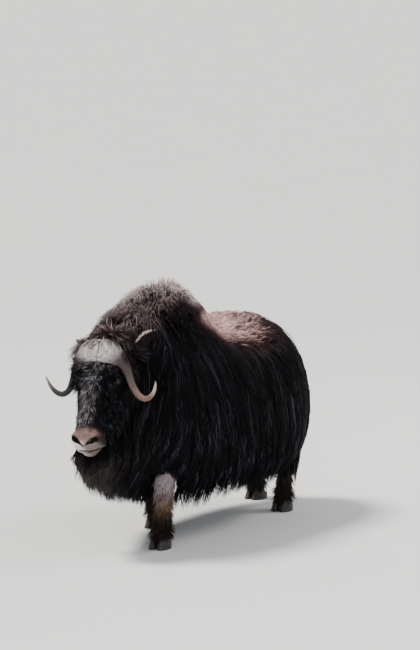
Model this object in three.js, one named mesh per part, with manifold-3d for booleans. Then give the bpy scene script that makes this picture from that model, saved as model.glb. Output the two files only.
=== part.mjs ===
// A standing, walking muskox at life size, as a still model. Millimetres, +Z up, the floor at z = 0.
// The animal faces -Y and its left side is +X. Every solid reaches out to the tips of the coat.
import * as THREE from "three";
import { LoftGeometry } from "three/addons/geometries/LoftGeometry.js";
import { mergeVertices } from "three/addons/utils/BufferGeometryUtils.js";
import Module from "manifold-3d";

const wasm = await Module();
wasm.setup();

// ---------------------------------------------------------------- driving dimensions
const GAP = 0.4; // clearance between solids that touch
const CUT = 0.6; // width of the thin cuts that part the body
const BODY_SEGMENTS = 28; // points round the body
const HEAD_SEGMENTS = 22;
const LEG_SEGMENTS = 11;
const HORN_SEGMENTS = 12;

const NECK_CUT_Y = -700; // plane between neck and trunk
const NECK_CUT_LEAN = 8; // degrees, the plane leans back at the top
const RUMP_CUT_Y = 380; // plane between trunk and rump
const HUMP_CUT_Z = 1090; // the mane hump stands above this level
const HUMP_END_Y = -190; // and ends behind here

const HEAD_ORIGIN = [14, -944, 1047]; // the poll
const HEAD_PITCH = 29.6; // degrees, the face is this far from vertical
const HEAD_YAW = 3.2; // degrees, turned to the animal's left
const HEAD_ROLL = 1.8; // degrees, the left side is a little higher
const EYE = { x: 115, n: 76, u: 197, r: 20 }; // centre and radius, in head coordinates
const MOUTH = { u: 558, n: 36, length: 92, thick: 3.2 };
const NOSTRIL = { x: 38, n: 85, u: 525, radii: [27, 17, 9.5], slant: 32 };

// the mane parts over the left foreleg, which steps forward
const PARTING = { at: [164, -812, 205], radii: [84, 132, 236] };

const HOOF = { length: 112, width: 51, high: 58, low: 34, split: 4.5 };

// ---------------------------------------------------------------- helpers
const signedPower = (c, n) => Math.sign(c) * Math.abs(c) ** (2 / n);
const lerp = (a, b, t) => a + (b - a) * t;
const smooth = (t) => t * t * (3 - 2 * t);

// Smooth interpolation of rows of numbers, the first of each being the position.
function rowAt(rows, at) {
  let i = 0;
  while (i < rows.length - 2 && at > rows[i + 1][0]) i++;
  const [p, a, b, q] = [
    rows[Math.max(i - 1, 0)],
    rows[i],
    rows[i + 1],
    rows[Math.min(i + 2, rows.length - 1)],
  ];
  const h = b[0] - a[0],
    t = Math.min(Math.max((at - a[0]) / h, 0), 1);
  return a.map((v, k) => {
    const slope = (b[k] - v) / h;
    const ma = p === a ? slope : (b[k] - p[k]) / (b[0] - p[0]);
    const mb = q === b ? slope : (q[k] - v) / (q[0] - a[0]);
    return (
      (2 * t ** 3 - 3 * t ** 2 + 1) * v +
      (t ** 3 - 2 * t ** 2 + t) * h * ma +
      (-2 * t ** 3 + 3 * t ** 2) * b[k] +
      (t ** 3 - t ** 2) * h * mb
    );
  });
}

function positionsOnly(geometry) {
  const g = new THREE.BufferGeometry().setAttribute(
    "position",
    geometry.getAttribute("position").clone(),
  );
  if (geometry.index) g.setIndex(geometry.index.clone());
  return mergeVertices(g, 1e-3);
}

// A closed three.js geometry as a solid, turned so that its faces point out.
function solid(geometry) {
  const g = positionsOnly(geometry);
  const triVerts = new Uint32Array(g.index.array);
  const make = () =>
    new wasm.Manifold(
      new wasm.Mesh({
        numProp: 3,
        vertProperties: new Float32Array(g.attributes.position.array),
        triVerts,
      }),
    );
  const made = make();
  if (made.volume() > 0) return made;
  for (let i = 0; i < triVerts.length; i += 3)
    [triVerts[i + 1], triVerts[i + 2]] = [triVerts[i + 2], triVerts[i + 1]];
  return make();
}

// A capped loft, whose rings all run counterclockwise about its direction.
function loft(sections) {
  const [ring, next] = sections,
    turn = new THREE.Vector3(),
    ahead = new THREE.Vector3();
  ring.forEach((p, i) => {
    const q = ring[(i + 1) % ring.length];
    turn.x += (p.y - q.y) * (p.z + q.z);
    turn.y += (p.z - q.z) * (p.x + q.x);
    turn.z += (p.x - q.x) * (p.y + q.y);
    ahead.add(next[i]).sub(p);
  });
  const rings =
    turn.dot(ahead) > 0 ? sections : sections.map((r) => [...r].reverse());
  return solid(new LoftGeometry(rings, { capStart: true, capEnd: true }));
}

function placed(made, matrix) {
  return made.transform(matrix.elements);
}

function geometryOf(made) {
  const m = made.getMesh();
  const p = new Float32Array(m.numVert * 3);
  for (let i = 0; i < m.numVert; i++)
    p.set(m.vertProperties.subarray(i * m.numProp, i * m.numProp + 3), i * 3);
  const g = new THREE.BufferGeometry()
    .setAttribute("position", new THREE.BufferAttribute(p, 3))
    .setIndex(new THREE.BufferAttribute(new Uint32Array(m.triVerts), 1));
  g.computeVertexNormals();
  return g;
}

// The largest connected body, so that no crumb of a cut stays with it.
function mainBody(made) {
  return made
    .decompose()
    .reduce((a, b) => (b.volume() > a.volume() ? b : a));
}

function ellipsoid(centre, radii, around = 14, down = 10, grow = 0) {
  const g = new THREE.SphereGeometry(1, around, down);
  g.scale(...radii.map((r) => r + grow)).translate(...centre);
  return solid(g);
}

function box(size, centre, tiltX = 0) {
  const g = new THREE.BoxGeometry(...size);
  g.rotateX(THREE.MathUtils.degToRad(tiltX)).translate(...centre);
  return solid(g);
}

// ---------------------------------------------------------------- the coat of neck, hump, trunk and rump
// y, top, hem, half-width, height of the widest point, squareness above and below it
const COAT = [
  [-1164, 540, 425, 50, 480, 2.0, 2.0],
  [-1136, 618, 372, 114, 485, 2.1, 1.9],
  [-1090, 722, 340, 146, 505, 2.1, 1.8],
  [-1040, 826, 314, 166, 530, 2.1, 1.7],
  [-990, 950, 296, 182, 565, 2.1, 1.65],
  [-945, 1100, 280, 198, 610, 2.1, 1.6],
  [-900, 1178, 262, 224, 650, 2.2, 1.6],
  [-855, 1206, 246, 268, 680, 2.4, 1.6],
  [-805, 1226, 234, 312, 690, 2.4, 1.65],
  [-740, 1250, 224, 336, 695, 2.15, 1.8],
  [-670, 1288, 218, 350, 695, 1.9, 2.1],
  [-600, 1330, 208, 360, 690, 1.7, 2.5],
  [-525, 1354, 206, 366, 685, 1.6, 2.9],
  [-450, 1354, 208, 371, 675, 1.56, 3.2],
  [-385, 1351, 214, 375, 665, 1.58, 3.2],
  [-328, 1336, 212, 377, 655, 1.62, 3.2],
  [-275, 1280, 210, 379, 645, 1.72, 3.2],
  [-228, 1186, 209, 380, 638, 1.9, 3.2],
  [-160, 1128, 207, 381, 632, 2.08, 3.2],
  [-20, 1112, 205, 381, 622, 2.2, 3.2],
  [150, 1104, 200, 378, 615, 2.2, 3.1],
  [290, 1092, 196, 362, 608, 2.2, 2.9],
  [405, 1068, 195, 335, 600, 2.15, 2.7],
  [505, 1026, 196, 303, 590, 2.1, 2.5],
  [595, 960, 202, 262, 575, 2.1, 2.3],
  [675, 868, 214, 212, 555, 2.05, 2.2],
  [738, 760, 236, 152, 530, 2.0, 2.1],
  [778, 650, 285, 88, 500, 2.0, 2.0],
  [797, 560, 370, 36, 470, 2.0, 2.0],
];

function coatSection([y, top, hem, wide, level, above, below], grow) {
  const points = [];
  for (let i = 0; i < BODY_SEGMENTS; i++) {
    const a = (i / BODY_SEGMENTS) * 2 * Math.PI,
      c = Math.cos(a),
      s = Math.sin(a),
      n = s >= 0 ? above : below;
    const rise = s >= 0 ? top - level : level - hem;
    points.push(
      new THREE.Vector3(
        (wide + grow) * signedPower(c, n),
        y,
        level + (rise + grow) * signedPower(s, n),
      ),
    );
  }
  return points;
}

function coatBody(grow = 0) {
  const rows = COAT.map((r) => [...r]);
  rows[0][0] -= grow;
  rows[rows.length - 1][0] += grow;
  return loft(rows.map((r) => coatSection(r, grow)));
}

// ---------------------------------------------------------------- the head, in its own frame
// x is the animal's left, n points out of the face, u runs down it from the poll to the lips
// u, n of the bridge, n of the throat side, half-width, n of the widest point, squareness in front and behind
const FACE = [
  [-42, 38, -52, 52, -5, 2.0, 2.0],
  [-20, 80, -96, 96, -8, 2.1, 2.0],
  [20, 106, -130, 120, -8, 2.2, 2.1],
  [70, 117, -154, 132, -4, 2.3, 2.1],
  [125, 120, -166, 137, 8, 2.4, 2.0],
  [175, 119, -172, 135, 16, 2.4, 2.0],
  [225, 114, -166, 125, 14, 2.3, 1.9],
  [275, 108, -152, 112, 10, 2.2, 1.9],
  [325, 103, -132, 101, 8, 2.2, 1.9],
  [375, 99, -112, 95, 10, 2.2, 2.0],
  [420, 98, -96, 90, 14, 2.3, 2.1],
  [460, 98, -84, 90, 18, 2.4, 2.1],
  [492, 97, -76, 92, 21, 2.4, 2.1],
  [518, 92, -68, 90, 21, 2.3, 2.1],
  [540, 81, -60, 81, 16, 2.2, 2.1],
  [558, 64, -53, 67, 6, 2.1, 2.1],
  [572, 42, -45, 51, -3, 2.0, 2.0],
  [582, 12, -31, 28, -10, 2.0, 2.0],
];

function faceSection([u, bridge, throat, wide, level, front, behind], grow) {
  const points = [];
  for (let i = 0; i < HEAD_SEGMENTS; i++) {
    const a = (i / HEAD_SEGMENTS) * 2 * Math.PI,
      c = Math.cos(a),
      s = Math.sin(a),
      n = s >= 0 ? front : behind;
    const rise = s >= 0 ? bridge - level : level - throat;
    points.push(
      new THREE.Vector3(
        (wide + grow) * signedPower(c, n),
        level + (rise + grow) * signedPower(s, n),
        u,
      ),
    );
  }
  return points;
}

function headShape(grow = 0) {
  const rows = FACE.map((r) => [...r]);
  rows[0][0] -= grow;
  rows[rows.length - 1][0] += grow;
  let made = loft(rows.map((r) => faceSection(r, grow)));
  for (const side of [1, -1]) {
    // brow and rim of the eye, cheek, wing of the nostril, and side of the upper lip
    made = made
      .add(ellipsoid([side * 99, 62, 197], [36, 40, 44], 9, 6, grow))
      .add(ellipsoid([side * 72, -66, 285], [34, 60, 86], 8, 6, grow))
      .add(ellipsoid([side * 56, 61, 506], [31, 32, 36], 9, 6, grow));
  }
  return made;
}

function headSolid() {
  let made = headShape();
  for (const side of [1, -1]) {
    made = made.subtract(
      ellipsoid([side * EYE.x, EYE.n, EYE.u], [EYE.r, EYE.r, EYE.r], 12, 8, GAP),
    );
    const nostril = new THREE.SphereGeometry(1, 12, 8);
    nostril
      .scale(...NOSTRIL.radii)
      .rotateY(THREE.MathUtils.degToRad(side * NOSTRIL.slant))
      .translate(side * NOSTRIL.x, NOSTRIL.n, NOSTRIL.u);
    made = made.subtract(solid(nostril));
  }
  // the closed mouth: a thin slot that climbs towards its corners
  const slot = new THREE.BoxGeometry(190, MOUTH.length, MOUTH.thick);
  slot
    .rotateX(THREE.MathUtils.degToRad(27))
    .translate(0, MOUTH.n, MOUTH.u);
  return mainBody(made.subtract(solid(slot)));
}

// ---------------------------------------------------------------- horns, in the head's frame
// x, n, u of the middle, half of the broad side, half of the thickness
const HORN_SPLIT = 2; // half of the furrow between the bases
const HORN = [
  [-14, 112, 56, 60, 27],
  [28, 121, 56, 61, 33],
  [62, 121, 62, 57, 34],
  [96, 110, 77, 47, 31],
  [125, 94, 99, 34, 26],
  [144, 76, 126, 25, 21],
  [158, 58, 156, 20.5, 18.5],
  [171, 40, 187, 18.5, 17.5],
  [186, 18, 215, 18, 17],
  [208, 1, 239, 17, 16],
  [237, -6, 252, 16, 15],
  [264, 0, 250, 14.5, 14],
  [286, 10, 238, 12.5, 12],
  [303, 24, 221, 10, 10],
  [313, 40, 203, 7.5, 7.5],
  [319, 54, 190, 4.5, 4.5],
  [321, 66, 181, 1.8, 1.8],
];

function hornShape(side, grow = 0) {
  const path = new THREE.CatmullRomCurve3(
    HORN.map(([x, n, u]) => new THREE.Vector3(x, n, u)),
  );
  const sections = [];
  // the broad side of the boss runs down the forehead, and each ring turns on from the last
  const wide = new THREE.Vector3(0, 0, 1),
    before = new THREE.Vector3(1, 0, 0);
  HORN.forEach(([x, n, u, broad, thick], i) => {
    const along = path.getTangent(i / (HORN.length - 1));
    wide
      .applyQuaternion(new THREE.Quaternion().setFromUnitVectors(before, along))
      .addScaledVector(along, -wide.dot(along))
      .normalize();
    before.copy(along);
    const high = new THREE.Vector3().crossVectors(along, wide).normalize();
    const square = lerp(3, 2, Math.min(i / 5, 1));
    const points = [];
    for (let k = 0; k < HORN_SEGMENTS; k++) {
      const a = (k / HORN_SEGMENTS) * 2 * Math.PI;
      points.push(
        new THREE.Vector3(x, n, u)
          .addScaledVector(wide, (broad + grow) * signedPower(Math.cos(a), square))
          .addScaledVector(high, (thick + grow) * signedPower(Math.sin(a), square)),
      );
    }
    sections.push(points);
  });
  // the bases of the two horns stop short of each other at the midline
  const whole = loft(sections).subtract(
    box([200, 400, 400], [HORN_SPLIT - grow - 100, 120, 66]),
  );
  return side > 0 ? whole : whole.mirror([1, 0, 0]);
}

// ---------------------------------------------------------------- ears, in the head's frame
const EAR_ROOT = [108, -12, 6],
  EAR_TIP = { left: [208, 4, -111], right: [230, -22, -48] },
  EAR_HALF_WIDTH = 31,
  EAR_THICK = 9,
  EAR_CUP = 15;

function earShape(side, grow = 0) {
  const root = new THREE.Vector3(...EAR_ROOT),
    tip = new THREE.Vector3(...EAR_TIP[side > 0 ? "left" : "right"]);
  const along = tip.clone().sub(root),
    length = along.length();
  along.normalize();
  const front = new THREE.Vector3(0.25, 0.86, 0.45); // the way the cup opens
  front.addScaledVector(along, -front.dot(along)).normalize();
  const across = new THREE.Vector3().crossVectors(along, front);
  const sections = [],
    rings = 9,
    half = 6;
  for (let i = 0; i <= rings; i++) {
    const t = i / rings;
    const leaf = Math.sin(Math.PI * (0.16 + 0.84 * t)) ** 0.62;
    const wide = Math.max(EAR_HALF_WIDTH * leaf, 4) + grow,
      thick = lerp(EAR_THICK, 4, t) / 2,
      cup = EAR_CUP * leaf;
    const middle = root
      .clone()
      .addScaledVector(along, length * t + (i === 0 ? -grow : i === rings ? grow : 0))
      .addScaledVector(front, 10 * Math.sin(Math.PI * t * 0.5) ** 2);
    const ring = [];
    for (let k = 0; k <= half; k++) {
      const a = lerp(-1, 1, k / half);
      ring.push(
        middle
          .clone()
          .addScaledVector(across, wide * a)
          .addScaledVector(front, -cup * (1 - a * a) - thick * (1 - 0.55 * a * a) - 2 * grow),
      );
    }
    for (let k = half; k >= 0; k--) {
      const a = lerp(-1, 1, k / half);
      ring.push(
        middle
          .clone()
          .addScaledVector(across, wide * a)
          .addScaledVector(front, -cup * (1 - a * a) + thick * (1 - 0.55 * a * a) + 2 * grow),
      );
    }
    for (const p of ring) p.x *= side;
    sections.push(ring);
  }
  return loft(sections);
}

// ---------------------------------------------------------------- legs and hooves
// z, x, y of the middle, half-width, half-depth, for each leg
const LEGS = {
  foreleg_left: {
    foot: [159, -744],
    turn: 5,
    path: [
      [26, 159, -728, 40, 40],
      [58, 159, -732, 53, 56],
      [100, 160, -726, 57, 60],
      [150, 162, -718, 53, 56],
      [215, 164, -712, 49, 51],
      [290, 167, -708, 52, 55],
      [350, 169, -702, 59, 64],
      [410, 172, -676, 64, 74],
      [480, 176, -624, 74, 90],
      [580, 180, -556, 84, 104],
    ],
  },
  foreleg_right: {
    foot: [-156, -292],
    turn: -4,
    path: [
      [26, -156, -276, 40, 40],
      [58, -156, -279, 53, 56],
      [100, -156, -282, 57, 60],
      [150, -157, -292, 54, 56],
      [215, -158, -308, 50, 52],
      [290, -160, -330, 53, 56],
      [350, -162, -346, 59, 62],
      [410, -165, -362, 64, 70],
      [480, -168, -384, 74, 86],
      [580, -172, -414, 84, 98],
    ],
  },
  hindleg_left: {
    foot: [164, 462],
    turn: 6,
    path: [
      [26, 164, 478, 38, 38],
      [58, 164, 476, 51, 54],
      [100, 164, 486, 54, 57],
      [150, 164, 500, 50, 53],
      [215, 165, 518, 47, 51],
      [290, 166, 536, 48, 56],
      [350, 167, 546, 52, 64],
      [410, 168, 544, 58, 74],
      [480, 170, 520, 72, 92],
      [580, 172, 480, 86, 112],
    ],
  },
  hindleg_right: {
    foot: [-136, 684],
    turn: -6,
    path: [
      [26, -136, 700, 38, 38],
      [58, -136, 696, 51, 54],
      [100, -137, 698, 54, 56],
      [150, -139, 702, 50, 53],
      [215, -142, 704, 47, 50],
      [290, -146, 698, 48, 54],
      [350, -150, 684, 52, 60],
      [410, -154, 658, 58, 70],
      [480, -158, 612, 72, 86],
      [580, -162, 552, 86, 104],
    ],
  },
};

function legShape(path) {
  return loft(
    path.map(([z, x, y, wide, deep]) => {
      const ring = [];
      for (let i = 0; i < LEG_SEGMENTS; i++) {
        const a = (i / LEG_SEGMENTS) * 2 * Math.PI;
        ring.push(
          new THREE.Vector3(
            x + wide * signedPower(Math.cos(a), 2.2),
            y + deep * signedPower(Math.sin(a), 2.2),
            z,
          ),
        );
      }
      return ring;
    }),
  );
}

// One half of a cloven hoof. Its sole is flat on the floor, its inner side is straight.
function toeShape([footX, footY], turn, side) {
  const levels = 3,
    around = 12,
    sections = [];
  for (let j = 0; j <= levels; j++) {
    const t = j / levels,
      narrow = lerp(1, 0.8, t) * (j === 0 ? 0.97 : 1),
      shift = lerp(0, 16, t); // the front wall leans back
    const ring = [];
    for (let i = 0; i < around; i++) {
      const a = (i / around) * 2 * Math.PI,
        c = Math.cos(a),
        s = Math.sin(a);
      // the straight inner side is at c < 0, the tip at s < 0
      const x = c < 0 ? signedPower(c, 5) : signedPower(c, 2.1);
      const y = s < 0 ? signedPower(s, 1.7) : signedPower(s, 2.6);
      const toIn = s < 0 ? 0.22 * s * s : 0; // the tips turn in a little
      const px = HOOF.split + HOOF.width / 2 + (x - toIn) * (HOOF.width / 2) * narrow + (c < 0 ? 1 : 0) * (1 - narrow) * 4;
      const py = (y * HOOF.length * narrow) / 2 + shift;
      const height = lerp(HOOF.high, HOOF.low, smooth((y + 1) / 2));
      ring.push(
        new THREE.Vector3(
          side * Math.max(px, HOOF.split),
          py,
          t * height,
        ),
      );
    }
    sections.push(ring);
  }
  const turned = new THREE.Matrix4()
    .makeTranslation(footX, footY, 0)
    .multiply(new THREE.Matrix4().makeRotationZ(THREE.MathUtils.degToRad(turn)));
  return placed(loft(sections), turned);
}

// The same toe a little larger about a point in its sole, as a seat with clearance.
function toeSeat(toe) {
  const { min, max } = toe.boundingBox();
  const middle = new THREE.Vector3((min[0] + max[0]) / 2, (min[1] + max[1]) / 2, 0);
  const swell = new THREE.Matrix4()
    .makeTranslation(middle)
    .scale(new THREE.Vector3(1.03, 1.03, 1.03))
    .multiply(new THREE.Matrix4().makeTranslation(middle.clone().negate()));
  return placed(toe, swell);
}

// ---------------------------------------------------------------- tail
function tailShape(grow = 0) {
  const rows = [
    [880, 640, 34, 22],
    [850, 672, 40, 27],
    [815, 703, 42, 28],
    [780, 731, 38, 25],
    [750, 751, 29, 19],
    [732, 764, 14, 10],
  ];
  return loft(
    rows.map(([z, y, wide, deep], i) => {
      const ring = [];
      for (let k = 0; k < 12; k++) {
        const a = (k / 12) * 2 * Math.PI;
        ring.push(
          new THREE.Vector3(
            (wide + grow) * Math.cos(a),
            y + (deep + grow) * Math.sin(a) * 0.8,
            z + (deep + grow) * Math.sin(a) * 0.6 + (i === 0 ? grow : i === rows.length - 1 ? -grow : 0),
          ),
        );
      }
      return ring;
    }),
  );
}

// ---------------------------------------------------------------- assembly
const pitch = THREE.MathUtils.degToRad(HEAD_PITCH),
  yaw = THREE.MathUtils.degToRad(HEAD_YAW),
  roll = THREE.MathUtils.degToRad(HEAD_ROLL);
// columns: the head's x, n and u directions before it turns
const headFrame = new THREE.Matrix4()
  .makeTranslation(...HEAD_ORIGIN)
  .multiply(new THREE.Matrix4().makeRotationZ(yaw))
  .multiply(new THREE.Matrix4().makeRotationY(-roll))
  .multiply(
    new THREE.Matrix4().makeBasis(
      new THREE.Vector3(1, 0, 0),
      new THREE.Vector3(0, -Math.cos(pitch), Math.sin(pitch)),
      new THREE.Vector3(0, -Math.sin(pitch), -Math.cos(pitch)),
    ),
  );

const inHead = (made) => placed(made, headFrame);

const solids = {};
const headGrown = headShape(GAP);
solids.head = inHead(headSolid());
const hornGrown = {},
  earGrown = {};
for (const [side, word] of [
  [1, "left"],
  [-1, "right"],
]) {
  hornGrown[word] = hornShape(side, GAP);
  earGrown[word] = earShape(side, 3 * GAP);
}
// the horn bases sit in shallow seats of the skull
const seats = hornGrown.left.add(hornGrown.right);
for (const [side, word] of [
  [1, "left"],
  [-1, "right"],
]) {
  solids["horn_" + word] = inHead(mainBody(hornShape(side).subtract(headGrown)));
  solids["ear_" + word] = inHead(
    mainBody(earShape(side).subtract(headGrown).subtract(hornGrown[word])),
  );
  solids["eye_" + word] = inHead(
    ellipsoid([side * EYE.x, EYE.n, EYE.u], [EYE.r, EYE.r, EYE.r], 12, 8),
  );
}

const parting = ellipsoid(PARTING.at, PARTING.radii, 16, 12);
const coatGrown = coatBody(GAP).subtract(
  ellipsoid(PARTING.at, PARTING.radii, 16, 12, -2 * GAP),
);
const coat = coatBody()
  .subtract(parting)
  .subtract(inHead(headGrown))
  .subtract(inHead(seats))
  .subtract(inHead(earGrown.left))
  .subtract(inHead(earGrown.right))
  .subtract(tailShape(GAP));
solids.tail = tailShape();

const big = 3000;
const neckSide = box([big, big, big], [0, NECK_CUT_Y - big / 2, 900], 0).transform(
  new THREE.Matrix4()
    .makeTranslation(0, NECK_CUT_Y, 650)
    .multiply(new THREE.Matrix4().makeRotationX(THREE.MathUtils.degToRad(-NECK_CUT_LEAN)))
    .multiply(new THREE.Matrix4().makeTranslation(0, -NECK_CUT_Y, -650)).elements,
);
const shiftY = (made, d) => made.translate([0, d, 0]);
solids.neck = mainBody(coat.intersect(neckSide));
const behind = coat.subtract(shiftY(neckSide, CUT));
const rumpSide = box([big, big, big], [0, RUMP_CUT_Y + big / 2, 900]);
solids.rump = mainBody(behind.intersect(rumpSide));
const middle = behind.subtract(shiftY(rumpSide, -CUT));
const above = box([big, big, big], [0, 0, HUMP_CUT_Z + big / 2]).intersect(
  box([big, 2000, big], [0, HUMP_END_Y - 1000, 900]),
);
solids.hump = mainBody(middle.intersect(above));
solids.trunk = mainBody(
  middle.subtract(
    box([big, big, big], [0, 0, HUMP_CUT_Z - CUT + big / 2]).intersect(
      box([big, 2000, big], [0, HUMP_END_Y + CUT - 1000, 900]),
    ),
  ),
);

for (const [name, { foot, turn, path }] of Object.entries(LEGS)) {
  const toes = [1, -1].map((side) => toeShape(foot, turn, side));
  const limb = legShape(path)
    .subtract(coatGrown)
    .subtract(toeSeat(toes[0]))
    .subtract(toeSeat(toes[1]));
  solids[name] = mainBody(limb);
  const end = name.replace("foreleg", "fore").replace("hindleg", "hind");
  // the outer toe is the one away from the body's middle
  const outer = foot[0] > 0 ? 0 : 1;
  solids["hoof_" + end + "_outer"] = toes[outer];
  solids["hoof_" + end + "_inner"] = toes[1 - outer];
}

// ---------------------------------------------------------------- materials and scene graph
const look = (color, roughness) =>
  new THREE.MeshStandardMaterial({ color, roughness, metalness: 0 });
const LOOKS = {
  head: look(0x2a2524, 0.9),
  neck: look(0x1f1a19, 0.92),
  hump: look(0x4a3d38, 0.95),
  trunk: look(0x1c1817, 0.92),
  rump: look(0x1c1817, 0.92),
  tail: look(0x241e1c, 0.92),
  leg: look(0x8a7a68, 0.9),
  hoof: look(0x1d1a18, 0.5),
  horn: look(0xb7a48a, 0.45),
  ear: look(0x4a3d38, 0.9),
  eye: look(0x0c0807, 0.1),
};
const lookOf = (name) =>
  LOOKS[name] ??
  LOOKS[name.split("_")[0]] ??
  (name.includes("leg") ? LOOKS.leg : LOOKS.trunk);

// the origin is at the middle of the model's box, on the floor
const low = [Infinity, Infinity, Infinity],
  high = [-Infinity, -Infinity, -Infinity];
for (const made of Object.values(solids)) {
  const b = made.boundingBox();
  for (let k = 0; k < 3; k++) {
    low[k] = Math.min(low[k], b.min[k]);
    high[k] = Math.max(high[k], b.max[k]);
  }
}
const muskox = new THREE.Group();
muskox.name = "muskox";
muskox.position.set(-(low[0] + high[0]) / 2, -(low[1] + high[1]) / 2, -low[2]);
for (const [name, made] of Object.entries(solids)) {
  const mesh = new THREE.Mesh(geometryOf(made), lookOf(name));
  mesh.name = name;
  muskox.add(mesh);
}

export default muskox;
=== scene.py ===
import math

import bmesh
import bpy
import numpy as np
from mathutils import Matrix, Vector


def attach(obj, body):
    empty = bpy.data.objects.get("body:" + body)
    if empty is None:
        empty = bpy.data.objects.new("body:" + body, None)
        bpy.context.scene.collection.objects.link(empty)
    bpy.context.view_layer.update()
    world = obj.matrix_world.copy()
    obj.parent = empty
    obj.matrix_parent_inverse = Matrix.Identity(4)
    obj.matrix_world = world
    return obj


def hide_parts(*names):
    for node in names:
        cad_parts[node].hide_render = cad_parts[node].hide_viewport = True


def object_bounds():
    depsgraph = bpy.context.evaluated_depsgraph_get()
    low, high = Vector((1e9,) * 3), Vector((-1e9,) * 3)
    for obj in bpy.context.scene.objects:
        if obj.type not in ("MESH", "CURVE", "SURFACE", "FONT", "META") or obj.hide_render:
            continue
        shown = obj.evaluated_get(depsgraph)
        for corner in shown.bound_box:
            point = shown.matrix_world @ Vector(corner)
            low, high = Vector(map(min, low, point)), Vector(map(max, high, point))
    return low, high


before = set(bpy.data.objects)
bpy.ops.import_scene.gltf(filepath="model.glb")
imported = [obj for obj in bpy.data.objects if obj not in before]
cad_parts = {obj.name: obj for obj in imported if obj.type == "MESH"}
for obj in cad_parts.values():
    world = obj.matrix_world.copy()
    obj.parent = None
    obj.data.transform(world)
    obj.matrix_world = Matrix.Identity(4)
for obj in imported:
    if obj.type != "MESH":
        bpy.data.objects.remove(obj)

cad_lo, cad_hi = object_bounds()

# ---------------------------------------------------------------- the animal's own frame
# Shapes are worked out in metres with the animal facing -Y and its left side at +X, the floor at z = 0.
# Only this shift along Y parts that frame from the scene's.
SHIFT = np.array([0.0, cad_hi.y - 0.797, 0.0])


def hermite(at, values, where):
    """Smooth interpolation of rows of values."""
    slope = np.empty_like(values)
    slope[1:-1] = (values[2:] - values[:-2]) / (at[2:] - at[:-2])[:, None]
    slope[0] = (values[1] - values[0]) / (at[1] - at[0])
    slope[-1] = (values[-1] - values[-2]) / (at[-1] - at[-2])
    i = np.clip(np.searchsorted(at, where) - 1, 0, len(at) - 2)
    h = at[i + 1] - at[i]
    t = np.clip((where - at[i]) / h, 0, 1)[:, None]
    h = h[:, None]
    return (
        (2 * t**3 - 3 * t**2 + 1) * values[i]
        + (t**3 - 2 * t**2 + t) * h * slope[i]
        + (-2 * t**3 + 3 * t**2) * values[i + 1]
        + (t**3 - t**2) * h * slope[i + 1]
    )


def unit(v):
    return v / np.maximum(np.linalg.norm(v, axis=-1, keepdims=True), 1e-9)


def step(a, b, v):
    t = np.clip((v - a) / (b - a), 0, 1)
    return t * t * (3 - 2 * t)


def mix(a, b, t):
    return a + (b - a) * t


def spow(c, n):
    return np.sign(c) * np.abs(c) ** (2 / n)


class Field:
    """A body of rounded sections: position, top, bottom, half-width, level of the widest, exponents."""

    def __init__(self, rows):
        r = np.array(rows, float)
        r[:, :5] *= 0.001
        self.pos = np.linspace(r[0, 0], r[-1, 0], 700)
        self.cols = hermite(r[:, 0], r[:, 1:], self.pos)

    def at(self, pos):
        return [np.interp(pos, self.pos, c) for c in self.cols.T]

    def rho(self, pos, side, up):
        """0 on the axis, 1 on the surface."""
        top, low, half, level, nu, nd = self.at(pos)
        d = up - level
        n = np.where(d >= 0, nu, nd)
        rise = np.where(d >= 0, top - level, level - low)
        return ((np.abs(side) / half) ** n + (np.abs(d) / rise) ** n) ** (1 / n)

    def rings(self, count, around, inset=(0, 0, 0)):
        """inset: at the top, at the bottom and at the sides."""
        where = np.linspace(self.pos[0], self.pos[-1], count)
        top, low, half, level, nu, nd = [c[:, None] for c in self.at(where)]
        a = np.linspace(0, 2 * math.pi, around, endpoint=False)[None, :]
        c, s = np.cos(a), np.sin(a)
        side = np.maximum(half - inset[2], 0.004) * np.where(s >= 0, spow(c, nu), spow(c, nd))
        rise = np.where(s >= 0, np.maximum(top - level - inset[0], 0.004), np.maximum(level - low - inset[1], 0.004))
        up = level + rise * np.where(s >= 0, spow(s, nu), spow(s, nd))
        return side, np.broadcast_to(where[:, None], side.shape), up


# y, top, hem, half-width, level, squareness above and below: the outline at the tips of the coat
COAT = Field([
    [-1164, 540, 425, 50, 480, 2, 2], [-1136, 618, 372, 114, 485, 2.1, 1.9],
    [-1090, 722, 340, 146, 505, 2.1, 1.8], [-1040, 826, 314, 166, 530, 2.1, 1.7],
    [-990, 950, 296, 182, 565, 2.1, 1.65], [-945, 1100, 280, 198, 610, 2.1, 1.6],
    [-900, 1178, 262, 224, 650, 2.2, 1.6], [-855, 1206, 246, 268, 680, 2.4, 1.6],
    [-805, 1226, 234, 312, 690, 2.4, 1.65], [-740, 1250, 224, 336, 695, 2.15, 1.8],
    [-670, 1288, 218, 350, 695, 1.9, 2.1], [-600, 1330, 208, 360, 690, 1.7, 2.5],
    [-525, 1354, 206, 366, 685, 1.6, 2.9], [-450, 1354, 208, 371, 675, 1.56, 3.2],
    [-385, 1351, 214, 375, 665, 1.58, 3.2], [-328, 1336, 212, 377, 655, 1.62, 3.2],
    [-275, 1280, 210, 379, 645, 1.72, 3.2], [-228, 1186, 209, 380, 638, 1.9, 3.2],
    [-160, 1128, 207, 381, 632, 2.08, 3.2], [-20, 1112, 205, 381, 622, 2.2, 3.2],
    [150, 1104, 200, 378, 615, 2.2, 3.1], [290, 1092, 196, 362, 608, 2.2, 2.9],
    [405, 1068, 195, 335, 600, 2.15, 2.7], [505, 1026, 196, 303, 590, 2.1, 2.5],
    [595, 960, 202, 262, 575, 2.1, 2.3], [675, 868, 214, 212, 555, 2.05, 2.2],
    [738, 760, 236, 152, 530, 2, 2.1], [778, 650, 285, 88, 500, 2, 2], [797, 560, 370, 36, 470, 2, 2],
])

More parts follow.
